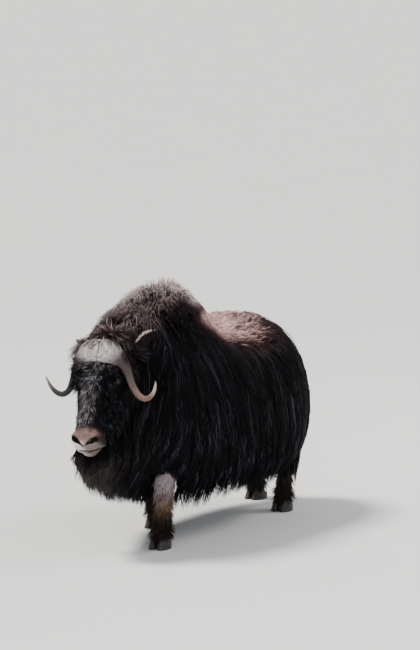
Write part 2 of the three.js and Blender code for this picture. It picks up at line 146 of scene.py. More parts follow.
# the flesh of neck, trunk and rump under the coat
FLESH = Field([
    [-945, 980, 660, 100, 820, 2, 2], [-900, 1060, 580, 135, 820, 2, 2],
    [-830, 1110, 500, 170, 800, 2, 2], [-740, 1150, 440, 205, 780, 1.95, 2.1],
    [-650, 1190, 410, 235, 760, 1.85, 2.2], [-550, 1225, 400, 258, 740, 1.75, 2.3],
    [-460, 1242, 400, 268, 730, 1.65, 2.4], [-380, 1238, 410, 276, 720, 1.65, 2.4],
    [-300, 1196, 420, 286, 710, 1.75, 2.4], [-220, 1122, 425, 294, 700, 1.95, 2.4],
    [-140, 1080, 430, 300, 690, 2.05, 2.4], [0, 1068, 430, 302, 680, 2.1, 2.4],
    [150, 1060, 440, 298, 670, 2.1, 2.4], [300, 1046, 455, 283, 670, 2.1, 2.4],
    [410, 1018, 470, 262, 670, 2.1, 2.3], [510, 974, 490, 232, 660, 2.1, 2.3],
    [600, 905, 510, 195, 650, 2, 2.2], [670, 820, 530, 150, 640, 2, 2],
    [720, 730, 560, 95, 630, 2, 2], [745, 660, 590, 40, 620, 2, 2],
])

# the head: u down the face from the poll, n at the bridge, n at the throat, half-width, n of the widest
FACE = Field([
    [-42, 38, -52, 52, -5, 2, 2], [-20, 80, -96, 96, -8, 2.1, 2], [20, 106, -130, 120, -8, 2.2, 2.1],
    [70, 117, -154, 132, -4, 2.3, 2.1], [125, 120, -166, 137, 8, 2.4, 2], [175, 119, -172, 135, 16, 2.4, 2],
    [225, 114, -166, 125, 14, 2.3, 1.9], [275, 108, -152, 112, 10, 2.2, 1.9], [325, 103, -132, 101, 8, 2.2, 1.9],
    [375, 99, -112, 95, 10, 2.2, 2], [420, 98, -96, 90, 14, 2.3, 2.1], [460, 98, -84, 90, 18, 2.4, 2.1],
    [492, 97, -76, 92, 21, 2.4, 2.1], [518, 92, -68, 90, 21, 2.3, 2.1], [540, 81, -60, 81, 16, 2.2, 2.1],
    [558, 64, -53, 67, 6, 2.1, 2.1], [572, 42, -45, 51, -3, 2, 2], [582, 12, -31, 28, -10, 2, 2],
])

# z, x, y of the middle, half-width, half-depth
LEGS = {
    "foreleg_left": [
        [26, 159, -728, 40, 40], [58, 159, -732, 53, 56], [100, 160, -726, 57, 60], [150, 162, -718, 53, 56],
        [215, 164, -712, 49, 51], [290, 167, -708, 52, 55], [350, 169, -702, 59, 64], [410, 172, -676, 64, 74],
        [480, 176, -624, 74, 90], [580, 180, -556, 84, 104], [700, 176, -500, 92, 118]],
    "foreleg_right": [
        [26, -156, -276, 40, 40], [58, -156, -279, 53, 56], [100, -156, -282, 57, 60], [150, -157, -292, 54, 56],
        [215, -158, -308, 50, 52], [290, -160, -330, 53, 56], [350, -162, -346, 59, 62], [410, -165, -362, 64, 70],
        [480, -168, -384, 74, 86], [580, -172, -414, 84, 98], [700, -172, -440, 92, 112]],
    "hindleg_left": [
        [26, 164, 478, 38, 38], [58, 164, 476, 51, 54], [100, 164, 486, 54, 57], [150, 164, 500, 50, 53],
        [215, 165, 518, 47, 51], [290, 166, 536, 48, 56], [350, 167, 546, 52, 64], [410, 168, 544, 58, 74],
        [480, 170, 520, 72, 92], [580, 172, 480, 86, 112], [700, 160, 420, 96, 130]],
    "hindleg_right": [
        [26, -136, 700, 38, 38], [58, -136, 696, 51, 54], [100, -137, 698, 54, 56], [150, -139, 702, 50, 53],
        [215, -142, 704, 47, 50], [290, -146, 698, 48, 54], [350, -150, 684, 52, 60], [410, -154, 658, 58, 70],
        [480, -158, 612, 72, 86], [580, -162, 552, 86, 104], [700, -150, 480, 94, 120]],
}
FEET = {
    "fore_left": (159, -744, 5), "fore_right": (-156, -292, -4),
    "hind_left": (164, 462, 6), "hind_right": (-136, 684, -6),
}

# x, n, u of the middle, half of the broad side, half of the thickness
HORN = np.array([
    [-14, 112, 56, 60, 27], [28, 121, 56, 61, 33], [62, 121, 62, 57, 34], [96, 110, 77, 47, 31],
    [125, 94, 99, 34, 26], [144, 76, 126, 25, 21], [158, 58, 156, 20.5, 18.5], [171, 40, 187, 18.5, 17.5],
    [186, 18, 215, 18, 17], [208, 1, 239, 17, 16], [237, -6, 252, 16, 15], [264, 0, 250, 14.5, 14],
    [286, 10, 238, 12.5, 12], [303, 24, 221, 10, 10], [313, 40, 203, 7.5, 7.5], [319, 54, 190, 4.5, 4.5],
    [321, 66, 181, 1.8, 1.8]]) * 0.001

HEAD_AT = np.array([0.014, -0.944, 1.047])
PITCH, YAW, ROLL = (math.radians(a) for a in (29.6, 3.2, 1.8))
EYE_AT, EYE_R = np.array([0.115, 0.076, 0.197]), 0.020
EYE_OUT = unit(np.array([0.75, 0.66, 0.05]))  # the way the left eye looks
PARTING_AT, PARTING_R = np.array([0.164, -0.812, 0.205]), np.array([0.084, 0.132, 0.236])

HEAD = (
    np.array(Matrix.Rotation(YAW, 3, "Z")) @ np.array(Matrix.Rotation(-ROLL, 3, "Y"))
    @ np.array([[1, 0, 0], [0, -math.cos(PITCH), -math.sin(PITCH)], [0, math.sin(PITCH), -math.cos(PITCH)]])
)


def from_head(p):
    return np.asarray(p) @ HEAD.T + HEAD_AT


def to_head(p):
    return (np.asarray(p) - HEAD_AT) @ HEAD


# ---------------------------------------------------------------- meshes
def tube(rings, close=True):
    """Vertices and faces of rings of points, capped at both ends."""
    m, k = rings.shape[:2]
    faces = [
        (i * k + j, i * k + (j + 1) % k, (i + 1) * k + (j + 1) % k, (i + 1) * k + j)
        for i in range(m - 1) for j in range(k)
    ]
    if close:
        faces += [tuple(range(k))[::-1], tuple(range((m - 1) * k, m * k))]
    return rings.reshape(-1, 3), faces


def joined(parts):
    verts, faces, base = [], [], 0
    for v, f in parts:
        verts.append(v)
        faces += [tuple(i + base for i in face) for face in f]
        base += len(v)
    return np.concatenate(verts), faces


def mesh_from(name, verts, faces):
    me = bpy.data.meshes.new(name)
    me.from_pydata((verts + SHIFT).tolist(), [], faces)
    me.update()
    bm = bmesh.new()
    bm.from_mesh(me)
    bmesh.ops.recalc_face_normals(bm, faces=bm.faces)
    bm.to_mesh(me)
    bm.free()
    return me


def show(name, me, material, replaces=()):
    ob = bpy.data.objects.new(name, me)
    bpy.context.scene.collection.objects.link(ob)
    me.materials.clear()
    me.materials.append(material)
    me.polygons.foreach_set("use_smooth", np.ones(len(me.polygons), bool))
    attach(ob, "root")
    if replaces:
        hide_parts(*replaces)
    return ob


def points_of(me):
    co = np.empty(len(me.vertices) * 3, np.float32)
    me.vertices.foreach_get("co", co)
    return co.reshape(-1, 3).astype(float) - SHIFT


def attribute(me, name, kind, values):
    a = me.attributes.new(name, kind, "POINT")
    a.data.foreach_set({"FLOAT": "value", "FLOAT_VECTOR": "vector", "FLOAT_COLOR": "color"}[kind],
                       np.ascontiguousarray(values, np.float32).ravel())


def evaluated(ob):
    bpy.context.view_layer.update()
    dg = bpy.context.evaluated_depsgraph_get()
    return bpy.data.meshes.new_from_object(ob.evaluated_get(dg))


# ---------------------------------------------------------------- markings, the same on skin and coat
def saddle_of(p):
    """The pale patch on the back behind the hump."""
    x, y, z = np.abs(p[:, 0]), p[:, 1], p[:, 2]
    front = step(-0.09, 0.05, y + 0.235 + 0.85 * x)
    rear = step(0.26, -0.30, y - 0.38 + 0.95 * x)
    low = step(-0.055, 0.075, z - (1.012 - 0.20 * (y + 0.2) + 0.25 * np.maximum(-0.2 - y, 0)))
    return front * rear * low * step(1.232, 1.158, z)


def headness(p):
    h = to_head(p)
    rho = FACE.rho(h[:, 2], h[:, 0], h[:, 1])
    return step(1.5, 1.2, rho) * step(-0.09, -0.02, h[:, 2]) * step(0.62, 0.60, h[:, 2])


def marks_of(p):
    """saddle, wool, pale wool ends with painted light, pale leg with painted light on its front, low leg, muzzle with
    painted shade low on its near side, white lips painted whiter on the far side as painted light, grey face strands
    with painted light on the far half of the face, leg; each 0 to 1.
    """
    x, y, z = p.T
    ax = np.abs(x)
    h = to_head(p)
    hx, hn, hu = np.abs(h[:, 0]), h[:, 1], h[:, 2]
    head = headness(p)
    saddle = saddle_of(p) * (1 - head)
    top = COAT.at(y)[0]
    deep = mix(0.140, 0.205, step(-0.70, -0.45, y))
    wool = step(0.0, 0.13, deep - (top - z)) * step(0.31, 0.12, ax) * step(-0.04, -0.19, y + 0.6 * ax) * step(-1.02, -0.93, y) * (1 - 0.8 * head)
    # painted light: the pale wool ends are strongest along the crest, reach further down its rear, and cover the front
    # of the hump on the far side, where the sun falls
    crest = np.maximum(step(0.110, 0.015, top - z), 0.95 * step(0.20, 0.07, top - z) * step(-0.50, -0.39, y))
    tips_and_painted_light = wool * crest * np.maximum(mix(0.15, 1.0, step(-0.66, -0.46, y)), 0.85 * step(-0.80, -0.69, y) * step(0.07, -0.02, x))
    # painted light: the top of the back and rump behind the hump gets some brown wool, so it reads lighter where the
    # sun falls
    wool = np.maximum(wool, 0.30 * step(0.26, 0.05, top - z) * step(-0.5, -0.2, y))
    rho, front = leg_rho(p)
    leg = step(0.50, 0.44, z) * (1 - head) * step(1.35, 1.05, rho)
    hind = step(0.0, 0.2, y)
    leg = leg * mix(1.0, step(0.27, 0.17, z), hind)
    # the pale stocking is the leg's own colour; its front is painted paler than its sides as painted light
    pale_leg_lit_front = leg * step(0.21, 0.35, z) * mix(0.30, 1.0, step(-0.8, 0.1, front)) * (1 - hind)
    low_leg = leg * step(0.25, 0.15, z)
    edge = 0.463 + 0.15 * np.maximum(hx - 0.05, 0) + 0.5 * np.maximum(0.045 - hn, 0)
    muzzle = head * step(-0.014, 0.012, hu - edge) * step(-0.035, -0.010, hn) * step(0.100, mix(0.088, 0.062, step(-0.01, 0.01, h[:, 0])), hx + 0.010 * (h[:, 0] > 0))
    # the lips are painted full white on the far side and only faintly on the near side: painted light where the sun
    # falls, painted shade on the near side
    white = head * step(0.516, 0.544, hu + 0.1 * hx) * step(-0.020, 0.0, hn) * mix(1.0, 0.12, step(-0.035, 0.03, h[:, 0]))
    # near: the lower near side of the muzzle, where the tan is weakened as painted shade
    near = step(-0.02, 0.04, h[:, 0]) * step(0.520, 0.545, hu)
    under = step(0.0, 0.006, mouth_gap(h)) * head
    white = white * (1 - 0.45 * under)
    muzzle = muzzle * (1 - 0.40 * near) * (1 - 0.25 * under)
    # the grey face strands reach further onto the far side than onto the near side: painted light on the side the sun
    # falls on
    middle = h[:, 0] + 0.012
    streak_and_painted_light = head * step(0.15, 0.20, hu) * step(0.47, 0.44, hu) * step(0.075, 0.02, -middle) * step(0.046, 0.004, middle) * step(0.045, 0.075, hn)
    return np.stack([saddle, wool, tips_and_painted_light, pale_leg_lit_front, low_leg, muzzle, white, streak_and_painted_light, leg], 1)


LEG_ROWS = {k: np.array(v, float) * 0.001 for k, v in LEGS.items()}


def leg_rho(p):
    """Distance from the axis of the nearest leg over its radius, and how far to the front of it."""
    best, front = np.full(len(p), 9.0), np.zeros(len(p))
    for rows in LEG_ROWS.values():
        cx, cy, w, d = (np.interp(p[:, 2], rows[:, 0], rows[:, i]) for i in (1, 2, 3, 4))
        r = np.hypot((p[:, 0] - cx) / w, (p[:, 1] - cy) / d)
        front = np.where(r < best, (cy - p[:, 1]) / d, front)
        best = np.minimum(best, r)
    return best, front


# ---------------------------------------------------------------- the skin
def ellipsoid(centre, radii, count=20):
    a = np.linspace(0, 2 * math.pi, count * 2, endpoint=False)[None, :]
    b = np.linspace(-1.5, 1.5, count)[:, None]
    ring = np.stack(np.broadcast_arrays(np.cos(b) * np.cos(a), np.cos(b) * np.sin(a), np.sin(b)), 2)
    return tube(np.asarray(centre) + ring * radii)


def skin_parts():
    parts = []
    side, y, z = FLESH.rings(90, 64)
    parts.append(tube(np.stack([side, y, z], 2)))
    side, u, n = FACE.rings(120, 72, (0.006, 0.016, 0.007))
    parts.append(tube(from_head(np.stack([side, n, u], 2))))
    for s in (1, -1):
        for centre, radii in (
            ((0.098, 0.062, 0.196), (0.031, 0.034, 0.040)),  # orbit
            ((0.066, -0.056, 0.285), (0.030, 0.052, 0.082)),  # cheek
            ((0.054, 0.057, 0.506), (0.029, 0.031, 0.034)),  # wing of the nostril
            ((0.028, 0.050, 0.540), (0.034, 0.030, 0.024)),  # upper lip
        ):
            v, f = ellipsoid((s * centre[0],) + centre[1:], radii)
            parts.append((from_head(v), f))
    a = np.linspace(0, 2 * math.pi, 28, endpoint=False)[None, :]
    for rows in LEG_ROWS.values():
        zs = np.linspace(rows[0, 0], rows[-1, 0], 60)
        r = hermite(rows[:, 0], rows[:, 1:], zs)
        cx, cy, w, d = (r[:, i][:, None] for i in range(4))
        inset = 0.009 + 0.006 * step(0.30, 0.5, zs)[:, None] - 0.003 * step(0.07, 0.03, zs)[:, None]
        slim = 0.011 * (step(0.06, 0.13, zs) * step(0.29, 0.20, zs))[:, None] * (rows[0, 2] > 0.3)
        ring = np.stack(np.broadcast_arrays(
            cx + (w - inset) * spow(np.cos(a), 2.2), cy - slim + (d - inset - slim) * spow(np.sin(a), 2.2), zs[:, None]), 2)
        parts.append(tube(ring))
    tail = np.array([[900, 610, 26, 20], [850, 664, 26, 16], [815, 698, 26, 16], [780, 726, 24, 14],
                     [750, 746, 17, 11], [738, 756, 8, 6]]) * 0.001
    a = a[:, ::2]
    parts.append(tube(np.stack(np.broadcast_arrays(
        tail[:, 2:3] * np.cos(a), tail[:, 1:2] + tail[:, 3:] * np.sin(a) * 0.8,
        tail[:, 0:1] + tail[:, 3:] * np.sin(a) * 0.6), 2)))
    return parts


EAR_ROOT = np.array([0.108, -0.012, 0.006])
EAR_TIP = {1: np.array([0.208, 0.004, -0.111]), -1: np.array([0.230, -0.022, -0.048])}


def ear_parts(s):
    """A cupped leaf. Returns its mesh part and, for every point, how far along it is and whether it is inside the cup."""
    root, tip = EAR_ROOT, EAR_TIP[s]
    along = tip - root
    length = np.linalg.norm(along)
    along = along / length
    front = np.array([0.25, 0.86, 0.45])
    front = unit(front - along * (front @ along))
    across = np.cross(along, front)
    rings, kinds = [], []
    for t in np.linspace(0, 1, 26):
        leaf = math.sin(math.pi * (0.16 + 0.84 * t)) ** 0.62
        wide = max(0.030 * leaf, 0.0028)
        thick = mix(0.0085, 0.0045, t) / 2
        cup = 0.015 * leaf
        middle = root + along * length * t * 0.985 + front * 0.010 * math.sin(math.pi * t * 0.5) ** 2
        ring = []
        for sign in (-1, 1):
            for a in np.linspace(-1, 1, 13) * -sign:
                edge = (1 - 0.85 * a**6) ** 0.5
                fold = -cup * (1 - a * a)
                ring.append(middle + across * wide * a + front * (fold + sign * thick * edge))
                kinds.append((t, 1.0 if sign > 0 else 0.0, a))
        rings.append(ring)
    v = np.array(rings)
    v[..., 0] *= s
    return tube(v), np.array(kinds)


def build_skin():
    verts, faces = joined(skin_parts())
    ob = bpy.data.objects.new("tmp", mesh_from("tmp", verts, faces))
    bpy.context.scene.collection.objects.link(ob)
    m = ob.modifiers.new("r", "REMESH")
    m.mode, m.voxel_size, m.adaptivity = "VOXEL", 0.0055, 0.0
    m = ob.modifiers.new("s", "SMOOTH")
    m.factor, m.iterations = 0.5, 8
    me = evaluated(ob)
    ob.modifiers.clear()
    ob.data = me
    # the trunk hides under the coat, so it needs fewer faces than the head and feet
    p = points_of(me)
    head = headness(p) > 0.2
    feet = p[:, 2] < 0.40
    group = ob.vertex_groups.new(name="g")
    group.add(np.nonzero(~(head | feet))[0].tolist(), 1.0, "REPLACE")
    m = ob.modifiers.new("d", "DECIMATE")
    m.decimate_type, m.ratio, m.vertex_group = "COLLAPSE", 0.42, "g"
    me = evaluated(ob)
    bpy.data.objects.remove(ob)

    bm = bmesh.new()
    bm.from_mesh(me)
    shift = Vector(SHIFT)

    def refine(test):
        centres = np.array([f.calc_center_median() - shift for f in bm.faces])
        chosen = test(to_head(centres))
        bm.faces.ensure_lookup_table()
        edges = {e for i in np.nonzero(chosen)[0] for e in bm.faces[int(i)].edges}
        edges = sorted(edges, key=lambda e: e.index)
        bmesh.ops.subdivide_edges(bm, edges=edges, cuts=1, use_grid_fill=True)
        bmesh.ops.triangulate(bm, faces=[f for f in bm.faces if len(f.verts) > 4])
        bm.edges.index_update()
        bm.faces.index_update()

    def near_eye(h, r):
        return np.minimum(np.linalg.norm(h - EYE_AT, axis=1), np.linalg.norm(h - EYE_AT * [-1, 1, 1], axis=1)) < r

    bm.edges.index_update()
    refine(lambda h: near_eye(h, 0.060) | ((h[:, 2] > 0.44) & (h[:, 1] > -0.05) & (h[:, 2] < 0.6) & (np.abs(h[:, 0]) < 0.12)))
    refine(lambda h: near_eye(h, 0.036) | ((h[:, 2] > 0.485) & (h[:, 2] < 0.575) & (h[:, 1] > 0.02) & (np.abs(h[:, 0]) < 0.08)))
    bm.normal_update()
    bm.to_mesh(me)
    bm.free()
    shape_face(me)
    me.update()
    return me


def almond(h, s):
    """Place of points about an eye: along its slit, across it, out of it, and distance from the lids' edge."""
    centre = EYE_AT * [s, 1, 1]
    out = EYE_OUT * [s, 1, 1]
    along = np.array([-0.45 * s, 0.40, 0.80])
    along = unit(along - out * (along @ out))
    across = np.cross(along, out)
    if across[2] > 0:
        across = -across
    d = h - centre
    p, q, r = d @ along, d @ across, d @ out
    g = ((np.abs(p) / 0.0185) ** 1.7 + (np.abs(q) / 0.0115) ** 1.9) ** (1 / 1.8) - 1
    return p, q, r, g * 0.0125, out


def nostril_gap(h):
    """Distance from the nostril's comma less its half-width, and how far along it."""
    x, u = np.abs(h[:, 0]), h[:, 2]
    best, where = np.full(len(h), 9.0), np.zeros(len(h))
    for t in np.linspace(0, 1, 40):
        cx = 0.0055 + 0.0605 * t
        cu = 0.5500 - 0.0375 * t**0.85
        wide = 0.0038 + 0.0096 * (3 * (t / 0.75) ** 2 - 2 * (t / 0.75) ** 3 if t < 0.75 else 1.0)
        d = np.hypot(x - cx, (u - cu)) - wide
        where = np.where(d < best, t, where)
        best = np.minimum(best, d)
    return best, where


def mouth_gap(h):
    tilt = math.radians(27)
    line = 0.5655 - 0.35 * np.maximum(np.abs(h[:, 0]) - 0.03, 0)
    return (h[:, 1] - 0.041) * -math.sin(tilt) + (h[:, 2] - line) * math.cos(tilt)


def shape_face(me):
    """Lids, nostrils, lips and folds, pushed into the skin."""
    p = points_of(me)
    h = to_head(p)
    normals = np.empty(len(p) * 3, np.float32)
    me.vertices.foreach_get("normal", normals)
    nh = normals.reshape(-1, 3).astype(float) @ HEAD
    for s in (1, -1):
        a, b, r, gap, out = almond(h, s)
        near = (np.hypot(a, b) < 0.045) & (r > -0.01) & (h[:, 0] * s > 0.03)
        ball = np.sqrt(np.maximum(EYE_R**2 - a**2 - b**2, 0))
        rim = ball + 0.0024
        fold = np.where(b > 0, 0.0032 * np.exp(-(((gap - 0.0095) / 0.0030) ** 2)) - 0.0016 * np.exp(-(((gap - 0.0055) / 0.0016) ** 2)),
                        0.0018 * np.exp(-(((gap - 0.0085) / 0.0026) ** 2)))
        want = np.where(gap < 0, ball - 0.0038, mix(rim, r, step(0.0035, 0.024, gap)) + fold)
        h = h + np.where(near, want - r, 0)[:, None] * out
    gap, along = nostril_gap(h)
    front = (h[:, 1] > 0.0) & (h[:, 2] > 0.45)
    deep = 0.022 * step(0.0012, -0.0060, gap) * front
    rim = 0.0030 * np.exp(-(((gap - 0.0042) / 0.0032) ** 2)) * front * step(0.55, 0.52, h[:, 2])
    inward = unit(nh * [1, 1, 1] + np.array([0, 0.7, 0]))
    h = h - deep[:, None] * inward + rim[:, None] * nh
    # groove between the nostrils down the lip
    groove = 0.0035 * np.exp(-((h[:, 0] / 0.0032) ** 2)) * step(0.530, 0.542, h[:, 2]) * front
    h = h - groove[:, None] * nh
    gap = mouth_gap(h)
    reach = step(-0.045, -0.01, h[:, 1]) * step(0.45, 0.48, h[:, 2])
    shut = 0.0090 * np.exp(-((gap / 0.0036) ** 2)) * reach
    lips = 0.0030 * (np.exp(-(((gap + 0.0085) / 0.0045) ** 2)) + np.exp(-(((gap - 0.0080) / 0.0045) ** 2))) * reach
    h = h + (lips - shut)[:, None] * nh
    # the lower jaw is narrower and lies behind the upper lip
    lower = step(0.030, 0.005, h[:, 1] - 0.6 * (h[:, 2] - 0.56)) * step(0.49, 0.55, h[:, 2]) * (gap > -0.004)
    lower = lower * (headness(p) > 0)
    h[:, 0] *= 1 - 0.20 * lower
    h[:, 2] -= 0.006 * lower
    # folds of skin over the nose
    fold = 0.0006 * np.sin(h[:, 2] * 620 + 14 * np.abs(h[:, 0])) * step(0.43, 0.46, h[:, 2]) * step(0.505, 0.48, h[:, 2]) * (h[:, 1] > 0.04)
    h = h + fold[:, None] * nh
    new = from_head(h) + SHIFT
    me.vertices.foreach_set("co", new.astype(np.float32).ravel())


# ---------------------------------------------------------------- materials
def linear(r, g, b):
    return tuple(((c / 255 + 0.055) / 1.055) ** 2.4 if c > 10 else c / 255 / 12.92 for c in (r, g, b)) + (1.0,)


class Nodes:
    def __init__(self, name):
        self.mat = bpy.data.materials.new(name)
        self.mat.use_nodes = True
        self.tree = self.mat.node_tree
        self.shader = self.tree.nodes["Principled BSDF"]
        self.out = self.tree.nodes["Material Output"]

    def node(self, kind, **settings):
        n = self.tree.nodes.new(kind)
        for k, v in settings.items():
            setattr(n, k, v)
        return n

    def link(self, a, b):
        self.tree.links.new(a, b)

    def put(self, socket, value):
        if isinstance(value, bpy.types.NodeSocket):
            self.link(value, socket)
        else:
            socket.default_value = value

    def attr(self, name):
        return self.node("ShaderNodeAttribute", attribute_name=name)

    def split(self, socket):
        n = self.node("ShaderNodeSeparateColor")
        self.link(socket, n.inputs[0])
        return n.outputs

    def math(self, op, a, b=0.0, clamp=False):
        n = self.node("ShaderNodeMath", operation=op, use_clamp=clamp)
        self.put(n.inputs[0], a)
        self.put(n.inputs[1], b)
        return n.outputs[0]

    def blend(self, a, b, t, mode="MIX"):
        n = self.node("ShaderNodeMix", data_type="RGBA", blend_type=mode)
        self.put(n.inputs[0], t)
        self.put(n.inputs[6], a)
        self.put(n.inputs[7], b)
        return n.outputs[2]

    def ramp(self, socket, low, high, to_low=0.0, to_high=1.0):
        n = self.node("ShaderNodeMapRange")
        self.put(n.inputs[0], socket)
        for i, v in enumerate((low, high, to_low, to_high), 1):
            n.inputs[i].default_value = v
        return n.outputs[0]

    def coords(self, scale=(1, 1, 1)):
        c = self.node("ShaderNodeTexCoord")
        m = self.node("ShaderNodeMapping")
        self.link(c.outputs["Object"], m.inputs[0])
        m.inputs["Scale"].default_value = scale
        return m.outputs[0]

    def noise(self, scale, detail=3.0, rough=0.55, stretch=(1, 1, 1), vector=None):
        n = self.node("ShaderNodeTexNoise")
        self.link(vector if vector is not None else self.coords(stretch), n.inputs["Vector"])
        n.inputs["Scale"].default_value = scale
        n.inputs["Detail"].default_value = detail
        n.inputs["Roughness"].default_value = rough
        return n.outputs[0]

    def bump(self, height, strength, distance):
        n = self.node("ShaderNodeBump")
        n.inputs["Strength"].default_value = strength
        n.inputs["Distance"].default_value = distance
        self.link(height, n.inputs["Height"])
        self.link(n.outputs[0], self.shader.inputs["Normal"])


# the glint colour is painted glints on a few guard hairs, and the bluish cast of the flank's ends is painted sheen
C_FLANK, C_FLANK_TIP, C_GLINT = linear(3, 3, 4), linear(12, 12, 16), linear(56, 57, 68)
C_WOOL, C_WOOL_TIP = linear(26, 16, 18), linear(72, 48, 49)
# pale wool ends; the same colour is painted light on the hump's crest and the far side of the poll
C_TIPS_AND_PAINTED_LIGHT = linear(246, 226, 220)
C_SADDLE, C_SADDLE_LOW, C_SADDLE_TIP = linear(150, 106, 100), linear(84, 58, 58), linear(246, 206, 200)
C_LEG_PALE, C_LEG, C_LEG_LOW = linear(146, 134, 140), linear(112, 90, 72), linear(34, 25, 20)
# the grey of the face strands is also used as painted light on the far half of the face and on lit curls of the brow
C_MUZZLE, C_MUZZLE_LOW, C_WHITE, C_STREAK_AND_PAINTED_LIGHT = linear(128, 104, 95), linear(84, 64, 60), linear(232, 217, 213), linear(186, 180, 186)


def marked(m, along, chance=None):
    """The coat's colours, mixed by the markings; along runs from the root of the hair to its tip."""
    a, b = m.attr("marks_a"), m.attr("marks_b")
    saddle, wool, tips_and_painted_light = m.split(a.outputs["Color"])
    leg, _, muzzle = m.split(b.outputs["Color"])
    extra = m.attr("marks_c")
    white, streak_and_painted_light, _ = m.split(extra.outputs["Color"])
    leg_pale_lit_front, leg_low = a.outputs["Alpha"], b.outputs["Alpha"]
    patch = m.noise(7.0, 3.0)
    glint = m.ramp(chance, 0.74, 0.98) if chance else 0.0
    c = m.blend(C_FLANK, m.blend(C_FLANK_TIP, C_GLINT, glint), along)
    w = m.blend(C_WOOL, C_WOOL_TIP, along)
    c = m.blend(c, w, m.math("MULTIPLY", wool, m.ramp(patch, 0.25, 0.6, 0.75, 1.0)))
    far = m.ramp(along, 0.20, 0.80)
    # pale wool ends, partly painted light
    c = m.blend(c, C_TIPS_AND_PAINTED_LIGHT, m.math("MULTIPLY", tips_and_painted_light, far))
    s = m.blend(C_SADDLE, C_SADDLE_TIP, m.math("MULTIPLY", m.ramp(along, 0.1, 0.8, 0.45, 1.0), m.ramp(patch, 0.30, 0.62, 0.55, 1.0)))
    s = m.blend(s, C_SADDLE_LOW, m.ramp(m.noise(60.0, 4.0, 0.7), 0.48, 0.68, 0.0, 0.7))
    if chance:
        s = m.blend(C_SADDLE_LOW, s, m.ramp(chance, 0.12, 0.48, 0.30, 1.0))
    s = m.blend(C_SADDLE_LOW, s, m.ramp(saddle, 0.35, 0.85))
    c = m.blend(c, s, m.ramp(saddle, 0.0, 0.55))
    c = m.blend(c, C_LEG, leg)
    # pale stocking, painted paler on the front as painted light
    c = m.blend(c, C_LEG_PALE, leg_pale_lit_front)
    c = m.blend(c, C_LEG_LOW, leg_low)
    nose = m.blend(C_MUZZLE, C_MUZZLE_LOW, m.ramp(m.noise(46.0, 4.0, 0.7), 0.45, 0.65, 0.0, 0.7))
    c = m.blend(c, nose, muzzle)
    # white lips and bristles; the lips' far side is partly painted light
    c = m.blend(c, C_WHITE, white)
    # grey face strands, partly painted light
    c = m.blend(c, C_STREAK_AND_PAINTED_LIGHT, streak_and_painted_light)
    return c


def coat_material():
    m = Nodes("coat_hair")
    lock = m.node("ShaderNodeSeparateXYZ")
    m.link(m.attr("lock").outputs["Vector"], lock.inputs[0])
    along, chance = lock.outputs[0], lock.outputs[1]
    c = marked(m, along, chance)
    bright = m.math("MULTIPLY", m.ramp(chance, 0, 1, 0.30, 1.70), m.ramp(along, 0.0, 0.35, 0.45, 1.0))
    fine = m.noise(420.0, 2.0, 0.5, (1, 1, 0.15))
    bright = m.math("MULTIPLY", bright, m.ramp(fine, 0.3, 0.7, 0.75, 1.2))
    n = m.node("ShaderNodeHueSaturation")
    m.link(c, n.inputs["Color"])
    m.link(bright, n.inputs["Value"])
    m.link(n.outputs[0], m.shader.inputs["Base Color"])
    m.shader.inputs["Roughness"].default_value = 0.50
    m.shader.inputs["Specular IOR Level"].default_value = 0.08
    m.bump(m.noise(900.0, 2.0, 0.6, (1, 1, 0.08)), 0.35, 0.001)
    return m.mat


def skin_material():
    m = Nodes("coat_skin")
    c = marked(m, 0.1)
    bare = m.attr("bare")  # lids, nostrils, lips' line and the ear's inside
    r = m.split(bare.outputs["Color"])
    c = m.blend(c, linear(18, 15, 15), r[0])
    c = m.blend(c, linear(232, 184, 176), r[1])
    fine = m.noise(260.0, 3.0, 0.6, (1, 1, 0.4))
    c = m.blend(c, (0.0, 0.0, 0.0, 1.0), m.ramp(fine, 0.35, 0.65, 0.35, 0.0))
    m.link(c, m.shader.inputs["Base Color"])
    m.link(m.ramp(r[0], 0, 1, 0.7, 0.32), m.shader.inputs["Roughness"])
    m.shader.inputs["Specular IOR Level"].default_value = 0.15
    m.bump(fine, 0.5, 0.002)
    return m.mat


